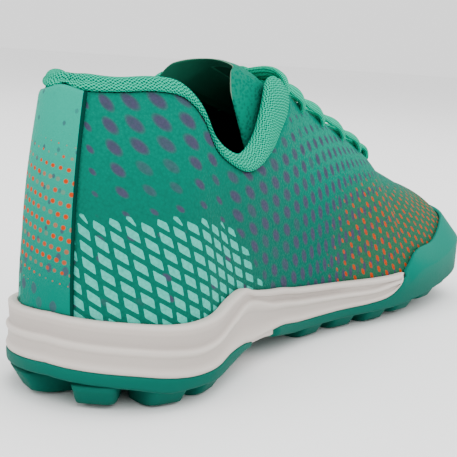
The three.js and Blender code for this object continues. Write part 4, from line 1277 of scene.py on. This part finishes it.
def smooth_path(points, count=STRAND_STEPS):
    """A cubic through the points: at each the slope between its neighbours, over the length of
    the chords."""
    points = np.array(points)
    knots = walk(points)
    slopes = np.gradient(points, knots, axis=0)
    s = np.linspace(0, knots[-1], count)
    i = np.clip(np.searchsorted(knots, s) - 1, 0, len(knots) - 2)
    step = (knots[i + 1] - knots[i])[:, None]
    t = ((s - knots[i])[:, None]) / step
    blend = t * t * (3 - 2 * t)
    bend = step * t * (1 - t) * (slopes[i] * (1 - t) - slopes[i + 1] * t)
    return mix(points[i], points[i + 1], blend) + bend


def lace_strand(path, normals):
    """A flat oval swept along a path: its width lies across the path and the outward direction,
    its thickness along that direction."""
    along = unit(np.gradient(path, axis=0))
    wide = unit(np.cross(along, normals))
    thick = np.cross(wide, along)
    turn = np.linspace(0, 2 * np.pi, 21)[None, :, None]
    cross = signed_power(np.cos(turn), LACE_EDGE) * LACE_WIDTH / 2 * wide[:, None]
    loops = path[:, None] + cross + np.sin(turn) * LACE_THICKNESS / 2 * thick[:, None]
    return capped(loops)


def paint_lace(tree):
    """A flat plait: two slanted waves multiplied."""
    along, around, _ = fact(tree, "weave").parts()
    ribs = (along + around * 0.6).wave(PLAIT) * (along - around * 0.6).wave(PLAIT)
    shade = ribs.step(-0.8, 0.5)
    return {"Base Color": shade.blend(ink(0, 106, 80), ink(0, 190, 150)), "relief": (shade, 0.00025)}


LACE = material("lace_weave", ink(2, 146, 114), 0.8, paint_lace, shine=0.02)
over = GAP * 2 + LACE_THICKNESS / 2
under = WALL + LACE_THICKNESS / 2 + GAP
ridge = front[:, front.shape[1] // 2]
pairs = len(EYELETS)


def tongue_top(x):
    """Height of the tongue's middle line at a length."""
    order = np.argsort(ridge[:, 0])
    return np.interp(x, ridge[order, 0], ridge[order, 2])


def turned(first, last, start):
    """Directions that turn from the first to the last between a share of the way and the same
    share from its end."""
    share = np.linspace(0, 1, STRAND_STEPS)[:, None]
    return unit(mix(first, last, smoothstep(share, start, 1 - start)))


def strand(a, b, lift):
    """A strand from under hole a, up through it, over the flap's edge on the straight line to
    hole b, over the tongue's crown, and down under the other flap. Also its outward direction."""
    at_a, at_b = mix(hole_at[a], hole_at[b], 0.45), mix(hole_at[a], hole_at[b], 0.75)
    edge_a = shell_point(hole_side[a], at_a, 1.0, -over)
    edge_b = shell_point(hole_side[b], at_b, 1.0, under)
    crest = mix(edge_a, edge_b, 0.5)
    clear = tongue_top(crest[0]) + LACE_THICKNESS / 2 + GAP
    crest[2] = max(crest[2] + ARCH, clear) + lift * LACE_THICKNESS * CROSSING_LIFT
    stops = [
        hole_centre[a] - hole_normal[a] * under,
        hole_centre[a] + hole_normal[a] * HOLE_LIFT,
        mix(hole_centre[a], edge_a, 0.4) + hole_normal[a] * over,
        edge_a + [0, 0, EDGE_LIFT],
        crest,
        edge_b,
        mix(edge_b, hole_centre[b] - hole_normal[b] * under, 0.6),
    ]
    return smooth_path(stops), turned(hole_normal[a], hole_normal[b], 0.25)


def top_bar():
    """The last strand, straight across between the two top holes and over the tongue."""
    ends = [hole_centre[0], hole_centre[pairs]]
    normals = [hole_normal[0], hole_normal[pairs]]
    edges = [shell_point(hole_side[k], hole_at[k], 1.0, -over) for k in (0, pairs)]
    crest = mix(edges[0], edges[1], 0.5) + [BAR_FORWARD, 0, 0]
    crest[2] = tongue_top(crest[0]) + LACE_THICKNESS / 2 + GAP * 2
    stops = [
        ends[0] - normals[0] * under,
        ends[0] + normals[0] * HOLE_LIFT,
        edges[0],
        crest,
        edges[1],
        ends[1] + normals[1] * HOLE_LIFT,
        ends[1] - normals[1] * under,
    ]
    return smooth_path(stops), turned(*normals, 0.3)


for i in range(pairs - 1):
    paths = [strand(i + 1, pairs + i, 0), strand(pairs + i + 1, i, 1)]
    if i == 0:
        paths.append(top_bar())
    bodies = [lace_strand(path, outward) for path, outward in paths]
    points, quads = joined(bodies)
    length, girth = (np.linspace(0, size, n) for size, n in zip((WEAVE_LENGTH, WEAVE_GIRTH), bodies[0].shape))
    weave = stack(length[:, None], girth[None], 0)
    facts = {"weave": np.concatenate([weave] * len(bodies))}
    name, replaced = f"lace_crossing_{i + 1}", [f"lace_{i + 1}"]
    piece(name, points, quads, [LACE], replaced, facts)

# %% [markdown]
# ## Floor, light and camera
# The shoe stands on a pale floor under broad soft lights. The camera is the one that took the
# photograph, found from the shoe's outline: behind the heel on the arch side, close to the floor.

# %% Stage
SHOE_MIDDLE = (0, 0, 0.05)
FLOOR = material("pale_floor", (0.93, 0.93, 0.93, 1), 0.9)
HALF_FLOOR = 6.0
corners = [(x * HALF_FLOOR, y * HALF_FLOOR, 0.0) for x, y in ((-1, -1), (1, -1), (1, 1), (-1, 1))]
floor_mesh = bpy.data.meshes.new("floor")
floor_mesh.from_pydata(corners, [], [(0, 1, 2, 3)])
floor_mesh.materials.append(FLOOR)
floor = bpy.data.objects.new("floor", floor_mesh)
bpy.context.scene.collection.objects.link(floor)

world = bpy.data.worlds.new("studio")
world.use_nodes = True
sky = world.node_tree.nodes["Background"].inputs
sky["Color"].default_value, sky["Strength"].default_value = (1, 1, 1, 1), 1.5
bpy.context.scene.world = world


def softbox(name, place_m, size, watts):
    """A square area light that faces the middle of the shoe."""
    light = bpy.data.lights.new(name, "AREA")
    light.size, light.energy = size, watts
    made = bpy.data.objects.new(name, light)
    made.location = place_m
    ray = Vector(SHOE_MIDDLE) - Vector(place_m)
    made.rotation_euler = ray.to_track_quat("-Z", "Y").to_euler()
    bpy.context.scene.collection.objects.link(made)


softbox("key_light", (-0.9, -1.1, 1.3), size=1.2, watts=20)
softbox("fill_light", (-1.2, 0.9, 0.9), size=1.4, watts=8)
softbox("top_light", (0.4, 0.0, 1.6), size=1.6, watts=22)

AZIMUTH, ELEVATION, DISTANCE, ROLL = -59.3, 9.55, 430.17, 3.29
SENSOR_MM, LENS_MM = 36, 85.78
TARGET = np.array([109.23, 0, 45.29])
azimuth, elevation, roll = np.radians([AZIMUTH, ELEVATION, ROLL])
level_back = np.array([np.sin(azimuth), -np.cos(azimuth), 0])
back = level_back * np.cos(elevation) + [0, 0, np.sin(elevation)]
level_right = unit(np.cross(-back, [0, 0, 1]))
level_above = np.cross(level_right, -back)
right = np.cos(roll) * level_right + np.sin(roll) * level_above
above = np.cos(roll) * level_above - np.sin(roll) * level_right
eye = (TARGET + back * DISTANCE + SHIFT) * MM
lens = bpy.data.cameras.new("photo_camera")
lens.sensor_width, lens.lens = SENSOR_MM, LENS_MM
lens.dof.use_dof = False
lens.clip_start = 0.01
camera = bpy.data.objects.new("photo_camera", lens)
basis = np.stack([right, above, back], 1)
camera.matrix_world = Matrix([[*basis[k], eye[k]] for k in range(3)] + [[0, 0, 0, 1]])
bpy.context.scene.collection.objects.link(camera)
bpy.context.scene.camera = camera
